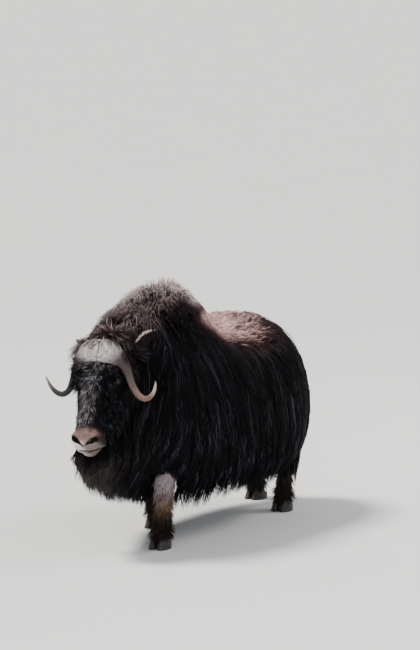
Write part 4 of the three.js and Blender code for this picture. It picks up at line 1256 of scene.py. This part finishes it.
def body_coat(roots, material):
    """Neck, hump, back, flanks and rump."""
    mid, nrm = roots.mid, roots.normal
    head = headness(mid) > 0.5
    x, y, z = mid.T
    leg = (z < 0.43) & (FLESH.rho(y, x, z) > 1.0)
    body = (~head & ~leg).astype(float)
    thin = (1 - 0.88 * step(1.03, 1.16, z)) * (1 - 0.97 * step(0.2, 0.7, saddle_of(mid)))
    side = body * (y > -0.72) * (y < 0.38) * (z > 0.47) * thin
    groups = [
        # name, where, count, rings
        ("coat_flank_left", side * (x > 0), 7900, 4),
        ("coat_flank_right", side * (x < 0), 4900, 4),
        ("coat_rump", body * (y >= 0.36) * (z > 0.5) * thin, 5100, 4),
        ("coat_neck", body * (y <= -0.70) * (1 - 0.5 * step(1.05, 1.15, z)), 6000, 4),
        ("coat_belly", body * (z <= 0.49) * (y > -0.72), 1000, 3),
    ]
    for name, where, count, rings in groups:
        root, normal = roots.take(where, count)
        n = len(root)
        cid = clump_of(root, 0.06)
        rx, ry, rz = root.T
        high = step(0.86, 1.04, rz)
        apart = np.clip(rx / np.where(rz < 0.95, 0.14, 0.03), -1, 1) + np.where(rz < 0.95, 0.5, 0.1) * RNG.normal(size=n)
        lie = tangent(np.stack([0.25 * apart, 0.35 + 0 * rx, -1.0 + 0 * rx], 1), normal)
        back = tangent(np.stack([0.5 * apart, 0.8 + 0 * rx, -0.5 + 0 * rx], 1), normal)
        lie = unit(mix(lie, back, (high * 0.5)[:, None]))
        sweep = np.where(ry < -0.70, -0.08, 0.12) + 0.035 * CLUMP[cid, 0]
        sweep = np.where(ry > 0.55, 0.04, sweep)
        pull = unit(np.stack([0.05 * apart, sweep, -np.ones(n)], 1))
        length = mix(0.46, 0.38, high) * (1 + 0.10 * CLUMP[cid, 1] + RNG.normal(size=n) * 0.08)
        length = np.clip(length, 0.2, 0.66)
        length = np.where(rz < 0.62, np.maximum(rz - 0.15, 0.16), length)
        length = np.where(saddle_of(root) > 0.5, 0.10, length)
        limit = np.clip(1.0 - np.abs(RNG.normal(size=n)) * 0.045 + 0.012 * CLUMP[cid, 2], 0.84, 1.02)
        ragged = -0.014 + 0.026 * CLUMP[cid, 3] + np.abs(RNG.normal(size=n)) * 0.028
        # behind the left foreleg the hair hangs lower
        elbow = step(0.16, 0.05, np.abs(ry + 0.60)) * (rx > 0.1)
        ragged = np.maximum(ragged - 0.06 * elbow, -0.018 - 0.06 * elbow)
        stand = mix(0.45, 0.56, high)
        pts = grow(root, normal, lie, length, stand, 0.42, pull, rings, guard_body, limit, wave=0.09, wavelength=length * 0.9,
                   clump=0.05, gather=0.50, jitter=0.07, fall_to=hem_of(ragged), early=1.35, stop=True)
        coat_piece(name, [batch(root, normal, pts, mix(0.0031, 0.0025, high), BODY, along=True)], material)

    # the rear between the legs, and the tail hidden in it
    where = body * (y > 0.52) * (np.abs(x) < 0.13) * (z > 0.42) * (z < 0.78)
    root, normal = roots.take(where, 1100)
    n = len(root)
    down = tangent(np.stack([RNG.normal(size=n) * 0.15, 0.1 * np.ones(n), -np.ones(n)], 1), normal)
    length = np.clip(root[:, 2] - 0.24 + RNG.normal(size=n) * 0.03, 0.12, 0.5)
    limit = np.clip(1.0 - np.abs(RNG.normal(size=n)) * 0.06, 0.8, 1.0)
    pts = grow(root, normal, down, length, 0.30, 0.42, np.array([0, 0.02, -1.0]), 4, guard_body, limit, wave=0.12,
               wavelength=0.3, clump=0.04, gather=0.3, jitter=0.12, fall_to=hem_of(0.02 + np.abs(RNG.normal(size=n)) * 0.04))
    rear = [batch(root, normal, pts, 0.0030, (), along=True)]
    tail = (y > 0.56) * (np.abs(x) < 0.040) * (z > 0.725) * (z < 0.99) * 1.0
    root, normal = roots.take(tail, 900)
    n = len(root)
    down = unit(np.stack([root[:, 0] * 3 + RNG.normal(size=n) * 0.25, 0.35 * np.ones(n), -np.ones(n)], 1))
    length = 0.19 * (1 + RNG.normal(size=n) * 0.2)
    pts = grow(root, normal, down, np.clip(length, 0.08, 0.3), 0.24, 0.45, np.array([0, 0.0, -1.0]), 4, wave=0.10, wavelength=0.2,
               clump=0.03, gather=0.2, jitter=0.14)
    pts[..., 1] = np.minimum(pts[..., 1], 0.800)
    rear.append(batch(root, normal, pts, 0.0030, (), along=True))
    coat_piece("coat_rear", rear, material)

    # wool of the hump and the top of the neck, standing up and out
    where = body * step(0.98, 1.12, z) * step(-0.02, -0.16, y + 0.5 * np.abs(x))
    where = where * mix(0.6, 1.0, step(1.05, 1.15, z)) * mix(1.0, 1.7, step(-0.42, -0.34, y))
    root, normal = roots.take(where, 11300)
    n = len(root)
    cid = clump_of(root, 0.05)
    rx, ry, rz = root.T
    lie = tangent(np.stack([0.3 * np.sign(rx), 0.5 * np.sign(ry + 0.5), -0.4 + 0 * rx], 1), normal)
    pull = unit(np.stack([0.25 * np.sign(rx), 0.25 * np.sign(ry + 0.5), -0.45 * np.ones(n)], 1))
    gap = reach(root, normal)
    length = (gap + 0.024) * (1.36 + 0.10 * CLUMP[cid, 1] + RNG.normal(size=n) * 0.14)
    length = length * mix(1.35, 1.0, step(1.0, 1.12, rz))
    limit = 1.036 - 0.034 * step(-0.46, -0.36, ry) - 0.030 * step(-0.64, -0.76, ry)
    limit = np.clip(limit - np.abs(RNG.normal(size=n)) * 0.026 + 0.012 * CLUMP[cid, 2], 0.88, 1.05)
    crest = step(1.05, 1.16, rz)
    pts = grow(root, normal, lie, np.clip(length, 0.05, 0.28), mix(0.6, 0.88, crest), mix(0.25, 0.05, crest), pull, 3,
               guard_body, limit, wave=0.34, wavelength=length * 0.9, clump=0.028, gather=0.40, jitter=0.22, stop=True)
    b = batch(root, normal, pts, 0.0017, BODY, along=True)
    lit = 1.0 + 0.24 * step(-0.50, -0.38, ry) + 0.30 * CLUMP[clump_of(root, 0.03, 5), 1]
    b["marks"][..., 2] *= np.clip(lit + 0.35 * RNG.normal(size=n), 0.0, 1.3)[:, None]
    b["marks"][..., 2] = np.clip(b["marks"][..., 2], 0, 1)
    coat_piece("coat_hump", [b], material)

    # short pale wool of the saddle
    where = body * np.clip(saddle_of(mid) * 1.3 + 0.5 * step(1.0, 1.05, z) * step(-0.3, -0.1, y), 0, 1)
    root, normal = roots.take(where, 6800)
    n = len(root)
    cid = clump_of(root, 0.04)
    rx, ry, rz = root.T
    lie = tangent(np.stack([0.25 * np.sign(rx), 1.0 + 0 * rx, -0.25 + 0 * rx], 1), normal)
    length = 0.086 * (1 + 0.15 * CLUMP[cid, 1] + RNG.normal(size=n) * 0.2)
    limit = np.clip(1.015 - np.abs(RNG.normal(size=n)) * 0.03, 0.93, 1.03)
    pts = grow(root, normal, lie, np.clip(length, 0.03, 0.12), 0.68, 0.24, lie, 3, guard_body, limit, wave=0.4,
               wavelength=0.05, clump=0.028, gather=0.3, jitter=0.24)
    b = batch(root, normal, pts, 0.0019, BODY, along=True)
    s = b["marks"][..., 0]
    edge = 4 * s * (1 - s)
    b["marks"][..., 0] = np.clip(s + ((0.6 * CLUMP[clump_of(root, 0.022), 0] + RNG.normal(size=n) * 0.8)[:, None]) * 0.30 * edge, 0, 1)
    coat_piece("coat_saddle", [b], material)


def eye_gap(k):
    return np.minimum(almond(k, 1)[3] + (k[:, 0] < 0), almond(k, -1)[3] + (k[:, 0] > 0))


def in_head(a, b, c):
    """A direction given in the head's frame."""
    a, b, c = np.broadcast_arrays(a, b, c)
    return np.stack([a, b, c], 1) @ HEAD.T


def head_coat(roots, material):
    mid, nrm = roots.mid, roots.normal
    head = headness(mid) > 0.5
    h = to_head(mid)
    hx, hn, hu = np.abs(h[:, 0]), h[:, 1], h[:, 2]
    nostril = nostril_gap(h)[0]
    mouth = np.abs(mouth_gap(h)) + (hn < -0.05) + (hu < 0.44)
    under_horn = (hn > 0.075) & (hu > 0.008) & (hu < 0.106 - 0.30 * np.maximum(hx - 0.06, 0)) & (hx < 0.105)
    bald = (eye_gap(h) < 0.0015) | ((nostril < 0.002) & (hn > 0)) | (mouth < 0.004) | under_horn
    ok = head & ~bald
    batches = []

    # muzzle and lips: very short
    where = ok * step(0.44, 0.46, hu) * step(-0.06, -0.03, hn)
    root, normal = roots.take(where, 4200)
    k = to_head(root)
    away = tangent(in_head(0.5 * np.sign(k[:, 0]), 0.0, -1.0), normal)
    pts = grow(root, normal, away, 0.0070 * RNG.uniform(0.7, 1.3, len(root)), 0.22, 0.1, away, 2, jitter=0.2, clump=0.012, gather=0)
    batches.append(batch(root, normal, pts, 0.0009))

    # bridge and front of the face: strands fan out from the parting down its middle
    where = ok * (hu < 0.480) * (hu > 0.19) * step(-0.01, 0.04, hn) * (1 + 1.6 * step(0.36, 0.44, hu))
    root, normal = roots.take(where, 6900)
    n = len(root)
    k = to_head(root)
    kx, kn, ku = k.T
    g = eye_gap(k)
    fan = mix(0.25, 0.85, step(0.0, 0.04, np.abs(kx + 0.010))) * mix(1.0, 0.15, step(0.055, 0.085, np.abs(kx)))
    down = tangent(in_head(fan * np.sign(kx + 0.010), 0.0, 1.0), normal)
    length = mix(0.033, 0.042, step(0.32, 0.22, ku)) * (1 + RNG.normal(size=n) * 0.25)
    length = length * mix(0.30, 1.0, step(0.004, 0.032, g)) * mix(1.0, 0.42, step(0.38, 0.47, ku))
    stand = mix(0.30, 0.12, step(0.40, 0.46, ku)) * mix(0.5, 1.0, step(0.003, 0.03, g))
    pull = unit(down * 0.8 + np.array([0, 0, -0.4]) - normal * 0.25)
    pts = grow(root, normal, down, np.clip(length, 0.006, 0.07), stand, 0.25, pull, 3, wave=0.22,
               wavelength=0.04, clump=0.020, gather=0.40, jitter=0.20)
    b = batch(root, normal, pts, mix(0.0014, 0.0011, step(0.38, 0.46, ku)))
    streak_and_painted_light = b["marks"][:, 0, 7]
    pale = (RNG.random(n) < streak_and_painted_light * 0.50) * RNG.uniform(0.30, 1.0, n)
    b["width"] = b["width"] * np.where(pale > 0.3, 0.80, 1.0)
    # painted light: the far half of the face, which faces the sun, gets faint grey and browner wool
    side = step(0.045, 0.0, kx)
    b["marks"][..., 7] = np.maximum(pale[:, None] * np.linspace(0.3, 1.0, pts.shape[1]), (0.13 * side * streak_and_painted_light ** 0.5)[:, None])
    b["marks"][..., 1] = (0.35 * side)[:, None]
    batches.append(b)

    # curls of the forehead and brows, puffed out under the boss and at the temples
    where = ok * step(0.085, 0.10, hu) * step(0.25, 0.19, hu) * step(-0.02, 0.03, hn) * mix(1.0, 0.6, step(0.17, 0.24, hu))
    root, normal = roots.take(where, 3300)
    n = len(root)
    k = to_head(root)
    kx, kn, ku = k.T
    g = eye_gap(k)
    temple = step(0.075, 0.11, np.abs(kx))
    lie = tangent(in_head(0.9 * np.sign(kx) * step(0.01, 0.07, np.abs(kx)), 0.0, mix(0.8, 0.25, temple)), normal)
    length = mix(0.046, np.where(kx < 0, 0.082, 0.034), temple) * (1 + RNG.normal(size=n) * 0.2) * mix(0.30, 1.0, step(0.004, 0.034, g))
    pull = unit(in_head(0.5 * np.sign(kx), 0.1, 0.7) + np.array([0, 0, -0.3]))
    pts = grow(root, normal, lie, np.clip(length, 0.008, 0.10), mix(0.62, 0.72, temple) * mix(0.5, 1.0, step(0.003, 0.03, g)),
               mix(0.30, 0.14, temple), pull, 4, wave=0.75, wavelength=0.034, clump=0.020, gather=0.35, jitter=0.30)
    b = batch(root, normal, pts, 0.0016)
    central = step(0.046, 0.018, np.abs(kx + 0.006))
    lit = (RNG.random(n) < mix(0.34 * step(0.140, 0.112, ku), 0.58, central)) * RNG.uniform(0.5, 1.0, n)
    lit = lit * (1 - 0.8 * step(0.075, 0.105, np.abs(kx + 0.01)))
    b["marks"][..., 1] = (0.35 * step(0.16, 0.12, ku))[:, None]
    b["marks"][..., 7] = lit[:, None] * np.linspace(0.1, 0.85, pts.shape[1])
    batches.append(b)

    # cheeks and temples: longer, back and down
    where = ok * (hu < 0.485) * (hu > 0.06) * step(0.06, 0.0, hn) * step(-0.13, -0.08, hn)
    root, normal = roots.take(where, 4000)
    n = len(root)
    k = to_head(root)
    kx, kn, ku = k.T
    g = eye_gap(k)
    lie = tangent(in_head(0.10 * np.sign(kx), -0.9, 0.6), normal)
    rear = step(0.03, -0.08, kn)
    length = mix(0.030, np.where(kx < 0, 0.055, 0.10), rear) * mix(1.0, 0.6, step(0.30, 0.46, ku)) * (1 + RNG.normal(size=n) * 0.2)
    length = length * mix(0.35, 1.0, step(0.004, 0.03, g)) * mix(1.0, 0.35, step(0.0, 0.04, kn) * step(0.40, 0.47, ku))
    limit = np.clip(0.97 - np.abs(RNG.normal(size=n)) * 0.06, 0.8, 1.0)
    pull = unit(lie * 0.4 + np.array([0, 0.1, -1.0]))
    pts = grow(root, normal, lie, np.clip(length, 0.008, 0.2), mix(0.24, 0.40, rear), mix(0.2, 0.4, rear), pull, 3, guard_head, limit,
               wave=0.15, wavelength=0.06, clump=0.03, gather=0.35, jitter=0.14, off=1.0, stop=True)
    batches.append(batch(root, normal, pts, mix(0.0016, 0.0026, rear)))

    # poll, behind and above the boss, falling over its upper edge
    where = ok * (hu < 0.045) * (hu > -0.09)
    root, normal = roots.take(where, 3150)
    n = len(root)
    k = to_head(root)
    kx, kn, ku = k.T
    front = step(-0.045, 0.0, ku) * (kn > 0.04)
    lie = tangent(in_head(0.6 * np.sign(kx), mix(-0.4, 0.5, front), mix(-0.5, -0.2, front)), normal)
    length = mix(0.098, 0.130, front) * (1 + RNG.normal(size=n) * 0.18)
    pull = unit(mix(np.stack([0.3 * np.sign(kx), 0.3 + 0 * kx, -0.5 + 0 * kx], 1), in_head(0.35 * np.sign(kx), 0.0, 1.0), front[:, None]))
    pts = grow(root, normal, lie, np.clip(length, 0.03, 0.17), mix(0.72, 0.92, front), mix(0.16, 0.42, front), pull, 4,
               wave=0.50, wavelength=0.06, clump=0.022, gather=0.40, jitter=0.22, stop=True)
    b = batch(root, normal, pts, 0.0017)
    # painted light: the far side of the poll, which faces the sun, gets browner wool and pale ends
    away = step(0.10, -0.02, kx)
    b["marks"][..., 1] = (0.15 + 0.6 * away)[:, None]
    b["marks"][..., 2] = ((RNG.random(n) < mix(0.35, 0.75, step(-0.05, -0.09, kx))) * 0.60 * away)[:, None] * np.linspace(0, 1, pts.shape[1]) ** 2
    batches.append(b)
    coat_piece("coat_head", batches, material)

    # pale bristles on the boss and in the furrow between its halves
    places, ways, outs = [], [], []
    for s in (1, -1):
        surface, values = horn_surface(s)
        f = values[:, 0, 0]
        rows = np.nonzero(f < 0.26)[0]
        surface = surface[rows]
        go, turn = np.gradient(surface, axis=0), np.gradient(surface, axis=1)
        out = unit(np.cross(turn, go)) * s
        seen = values[rows][:, :, 1] > 0.05
        places.append(surface[seen])
        ways.append(go[seen])
        outs.append(out[seen])
    places, ways, outs = (np.concatenate(a) for a in (places, ways, outs))
    outs = outs * np.sign((outs * np.array([0, 1.0, 0])).sum(1, keepdims=True) + 1e-9)
    w = 0.05 + 3.0 * step(0.020, 0.004, np.abs(places[:, 0])) + 1.6 * step(0.030, -0.004, places[:, 2]) + 1.2 * step(0.09, 0.115, places[:, 2])
    i = RNG.choice(len(places), size=int(700 * SCALE), p=w / w.sum())
    k = places[i] + RNG.normal(size=(len(i), 3)) * 0.0012
    root, normal = from_head(k - outs[i] * 0.001), outs[i] @ HEAD.T
    lie = tangent(unit(ways[i]) @ HEAD.T + RNG.normal(size=(len(i), 3)) * 0.35, normal)
    length = (0.010 + 0.010 * step(0.02, 0.0, np.abs(k[:, 0])) + 0.008 * step(0.03, -0.004, k[:, 2])) * RNG.uniform(0.6, 1.4, len(i))
    pts = grow(root, normal, lie, length, 0.20, 0.12, lie, 2, jitter=0.25, clump=0.012, gather=0.2)
    b = batch(root, normal, pts, 0.0009, ())
    shade = RNG.random(len(i))[:, None]
    b["marks"][..., 6] = np.where(shade < 0.84, 1.0, 0.15)
    b["chance"] = 0.55 + 0.30 * RNG.random(len(i))
    b["marks"][..., 1] = 0.8
    coat_piece("coat_boss", [b], material)

    # throat mane from the jaws, chin and throat
    below = np.maximum(step(-0.030, -0.070, hn), 1.0 * step(0.47, 0.50, hu) * step(-0.008, -0.030, hn))
    where = ok * (hu > 0.05) * below * (1 + 2.2 * step(0.40, 0.50, hu)) * np.where(h[:, 0] < -0.02, 1.35, 1.0)
    root, normal = roots.take(where, 6400)
    n = len(root)
    k = to_head(root)
    kx, kn, ku = k.T
    cid = clump_of(root, 0.05)
    chin = step(0.44, 0.56, ku)
    lie = tangent(in_head(0.2 * np.sign(kx), -0.6, 0.5), normal)
    spread = np.sign(kx) * np.clip(np.abs(kx) / 0.065, 0, 1) ** 1.6 * np.where(kx < 0, 0.86, 0.16) * mix(0.3, 1.0, step(0.25, 0.45, ku)) * (1 - 0.35 * chin)
    spread = spread + RNG.normal(size=n) * 0.06
    pull = unit(np.stack([spread, mix(-0.06, -0.32, chin), -np.ones(n)], 1))
    length = mix(0.40, 0.29, step(0.25, 0.56, ku)) * (1 + 0.12 * CLUMP[cid, 1] + RNG.normal(size=n) * 0.14)
    length = length * mix(1.0, 0.16, step(0.035, 0.065, kn - FACE.at(ku)[1]) * (1 - chin))
    limit = np.clip(1.02 + 0.05 * step(0.0, -0.03, kx) - np.abs(RNG.normal(size=n)) * 0.05, 0.7, 1.06)
    ragged = -0.014 + 0.024 * CLUMP[cid, 3] + np.abs(RNG.normal(size=n)) * 0.018
    pts = grow(root, normal, lie, np.clip(length, 0.03, 0.5), 0.40, 0.42, pull, 4, guard_head, limit, wave=0.14,
               wavelength=length * 0.9, clump=0.04, gather=0.45, jitter=0.12, off=1.0, fall_to=hem_of(np.maximum(ragged, -0.03)), early=1.2, stop=True)
    b = batch(root, normal, pts, 0.0027, ())
    front = step(-1.00, -1.12, pts[..., 1])
    # painted shade: the front locks of the beard that end on the near side are darkened
    b["chance"] = b["chance"] * (1 - 0.5 * front[:, -1] * step(-0.12, 0.0, pts[:, -1, 0]))
    b["marks"][..., 1] = front * mix(0.02, 0.22, step(0.03, -0.04, pts[..., 0]))
    b["marks"][..., 2] = 0.12 * front * np.linspace(0, 1, pts.shape[1]) ** 3
    coat_piece("coat_throat", [b], material)


def leg_coat(roots, material):
    mid, nrm = roots.mid, roots.normal
    where = (mid[:, 2] < 0.46) * (mid[:, 2] > 0.045) * (FLESH.rho(mid[:, 1], mid[:, 0], mid[:, 2]) > 1.0) * (headness(mid) < 0.5)
    where = where * mix(1.0, 0.6, step(0.25, 0.4, mid[:, 2]))
    root, normal = roots.take(where.astype(float), 6400)
    n = len(root)
    z = root[:, 2]
    down = tangent(np.stack([0 * z, 0.12 + 0 * z, -1 + 0 * z], 1), normal)
    low = step(0.17, 0.09, z)
    length = mix(0.040, 0.052, low) * (1 + RNG.normal(size=n) * 0.2)
    length = np.minimum(np.clip(length, 0.015, 0.08), np.maximum(z - 0.030, 0.010))
    pull = unit(down + normal * (0.25 * low)[:, None])
    pts = grow(root, normal, down, length, mix(0.30, 0.42, low), 0.20, pull, 2, wave=0.2, wavelength=0.04,
               clump=0.02, gather=0.3, jitter=0.18)
    pts[..., 2] = np.maximum(pts[..., 2], 0.012)
    batches = [batch(root, normal, pts, 0.0017)]
    # a skirt over the hocks
    where = (mid[:, 2] < 0.50) * (mid[:, 2] > 0.27) * (mid[:, 1] > 0.3) * (FLESH.rho(mid[:, 1], mid[:, 0], mid[:, 2]) > 1.0)
    root, normal = roots.take(where.astype(float), 1500)
    n = len(root)
    z = root[:, 2]
    down = tangent(np.stack([0 * z, 0 * z, -1 + 0 * z], 1), normal)
    length = np.maximum(z - np.clip(0.205 + 0.040 * RNG.normal(size=n), 0.12, 0.3), 0.04)
    limit = np.clip(1.08 + 0.06 * RNG.normal(size=n), 1.03, 1.25)
    pts = grow(root, normal, down, length, 0.10, 0.35, np.array([0, 0, -1.0]), 3, guard_leg, limit, wave=0.1, wavelength=0.2,
               clump=0.03, gather=0.4, jitter=0.06)
    batches.append(batch(root, normal, pts, 0.0028, ()))
    coat_piece("coat_legs", batches, material)


def ear_coat(ears, material):
    batches = []
    for s, verts, faces, kinds in ears:
        count = int(1000 * SCALE)
        back = kinds[:, 1] < 0.5
        a = np.abs(kinds[:, 2])
        w = np.where(back, 1.0, 0.25) + 2.5 * step(0.75, 1.0, a)
        w = w * (kinds[:, 0] > 0.08)
        i = RNG.choice(len(verts), size=count, p=w / w.sum())
        root = verts[i] + RNG.normal(size=(count, 3)) * 0.0014
        k = kinds[i]
        tip = from_head(EAR_TIP[s] * [s, 1, 1])
        base = from_head(EAR_ROOT * [s, 1, 1])
        along = unit(tip - base)
        normal = unit(ear_normals(verts, faces)[i])
        lie = tangent(np.broadcast_to(along, root.shape) + 0.0, normal)
        length = mix(0.024, 0.012, k[:, 0]) * (1 + RNG.normal(size=count) * 0.25)
        pts = grow(root, normal, lie, np.clip(length, 0.006, 0.04), 0.25, 0.2, lie, 2, jitter=0.2, clump=0.015, gather=0.2)
        b = batch(root, normal, pts, 0.0012, ())
        b["uv"] = np.stack([0.52 + 0.22 * (s < 0) + 0.18 * k[:, 0], 0.93 + 0.05 * (0.5 + 0.25 * k[:, 2] * np.where(k[:, 1] > 0, 1, -1))], 1)
        upper = step(0.87, 0.99, k[:, 2] * EAR_UP) * step(0.1, 0.3, k[:, 0])
        b["marks"][..., 0] = (upper * 0.7)[:, None] + 0.35 * (s < 0) * (k[:, 1] < 0.5)[:, None]
        b["marks"][..., 1] = (0.15 + 0.4 * (k[:, 1] < 0.5))[:, None]
        b["marks"][..., 6] = (upper * 0.6)[:, None]
        b["chance"] = np.where(upper > 0.3, 0.62, b["chance"])
        batches.append(b)
    coat_piece("coat_ears", batches, material)


EAR_UP = -1  # which edge of the ear, as built, is the upper one


def ear_normals(verts, faces):
    n = np.zeros_like(verts)
    for f in faces:
        if len(f) == 4:
            a, b, c, d = (verts[i] for i in f)
            k = np.cross(c - a, d - b)
            for i in f:
                n[i] += k
    return n


# ---------------------------------------------------------------- build
skin_me = build_skin()
roots = Roots(skin_me)

ears, ear_meshes = [], []
for s in (1, -1):
    (v, f), kinds = ear_parts(s)
    v = from_head(v)
    me = mesh_from("ear", v, f)
    ears.append((s, v, [tuple(p.vertices) for p in me.polygons], kinds))
    ear_meshes.append((me, kinds))

# one skin: the ears are joined to it
bm = bmesh.new()
bm.from_mesh(skin_me)
plain = len(bm.verts)
for me, _ in ear_meshes:
    bm.from_mesh(me)
bmesh.ops.triangulate(bm, faces=[f for f in bm.faces if len(f.verts) > 4])
bm.to_mesh(skin_me)
bm.free()
skin_p = points_of(skin_me)
marks = np.clip(marks_of(skin_p), 0, 1)
marks[:, 7] *= 0.0
bare = np.zeros((len(skin_p), 4))
bare[:, 3] = 1
h = to_head(skin_p)
for s in (1, -1):
    a, b, r, gap, _ = almond(h, s)
    close = (np.hypot(a, b) < 0.05) & (r > -0.01)
    bare[:, 0] = np.maximum(bare[:, 0], close * step(0.009, 0.002, gap))
gap = nostril_gap(h)[0]
bare[:, 0] = np.maximum(bare[:, 0], step(0.0015, -0.002, gap) * (h[:, 1] > 0) * (h[:, 2] > 0.45))
gap = np.abs(mouth_gap(h))
bare[:, 0] = np.maximum(bare[:, 0], step(0.0042, 0.0015, gap) * step(-0.045, -0.01, h[:, 1]) * (h[:, 2] > 0.44) * (h[:, 2] < 0.6) * headness(skin_p))
kinds = np.concatenate([k for _, k in ear_meshes])
marks[plain:] = 0
marks[plain:, 1] = 0.12
bare[plain:, 0] = 0
bare[plain:, 1] = 0.02 + 0.95 * step(0.80, 0.98, kinds[:, 2] * EAR_UP) * step(0.1, 0.4, kinds[:, 0])
bare = np.clip(bare, 0, 1)
set_marks(skin_me, marks)
attribute(skin_me, "bare", "FLOAT_COLOR", bare)
show("skin", skin_me, skin_material(), [
    "head", "neck", "hump", "trunk", "rump", "tail", "ear_left", "ear_right",
    "foreleg_left", "foreleg_right", "hindleg_left", "hindleg_right"])

build_eyes(eye_material())
build_horns(horn_material())
build_hooves(hoof_material())

hair = coat_material()
body_coat(roots, hair)
head_coat(roots, hair)
leg_coat(roots, hair)
ear_coat(ears, hair)
print("coat triangles", TRIANGLES, "skin faces", len(skin_me.polygons), "skin vertices", len(skin_me.vertices))

# ---------------------------------------------------------------- floor, light and camera
me = bpy.data.meshes.new("floor")
me.from_pydata([(-40, -40, 0), (40, -40, 0), (40, 40, 0), (-40, 40, 0)], [], [(0, 1, 2, 3)])
floor = bpy.data.objects.new("floor", me)
bpy.context.scene.collection.objects.link(floor)
me.materials.append(floor_material())

world = bpy.data.worlds.new("studio")
bpy.context.scene.world = world
world.use_nodes = True
world.node_tree.nodes["Background"].inputs[0].default_value = (0.90, 0.94, 1.0, 1)
world.node_tree.nodes["Background"].inputs[1].default_value = 0.56


def lamp(kind, name, at, to, size, power, colour=(1, 1, 1)):
    data = bpy.data.lights.new(name, kind)
    data.energy, data.color = power, colour
    if kind == "SUN":
        data.angle = size
    else:
        data.shape, data.size = "DISK", size
    ob = bpy.data.objects.new(name, data)
    bpy.context.scene.collection.objects.link(ob)
    ob.location = at
    ob.rotation_mode = "QUATERNION"
    ob.rotation_quaternion = (Vector(to) - Vector(at)).to_track_quat("-Z", "Y")


lamp("SUN", "key", (-1.70, -0.95, 3.45), (0, 0, 0), 0.28, 4.7, (1.0, 0.97, 0.93))
lamp("AREA", "fill", (4.5, -5.5, 3.0), (0, -0.2, 0.8), 3.0, 150, (0.97, 0.98, 1.0))
lamp("AREA", "rim", (3.0, 4.5, 4.5), (0, 0, 0.9), 2.5, 170, (1.0, 0.99, 0.97))

TARGET = Vector((0.0, SHIFT[1], 1.053))
az, el, far = math.radians(32.0), math.radians(8.5), 22.0
back = Vector((math.sin(az) * math.cos(el), -math.cos(az) * math.cos(el), math.sin(el)))
data = bpy.data.cameras.new("camera")
camera = bpy.data.objects.new("camera", data)
bpy.context.scene.collection.objects.link(camera)
camera.location = TARGET + back * far
camera.rotation_mode = "QUATERNION"
camera.rotation_quaternion = (-back).to_track_quat("-Z", "Y")
data.sensor_width = 36
data.lens = 36 * 190 * far / 650
data.clip_start, data.clip_end = 0.5, 100
bpy.context.scene.camera = camera
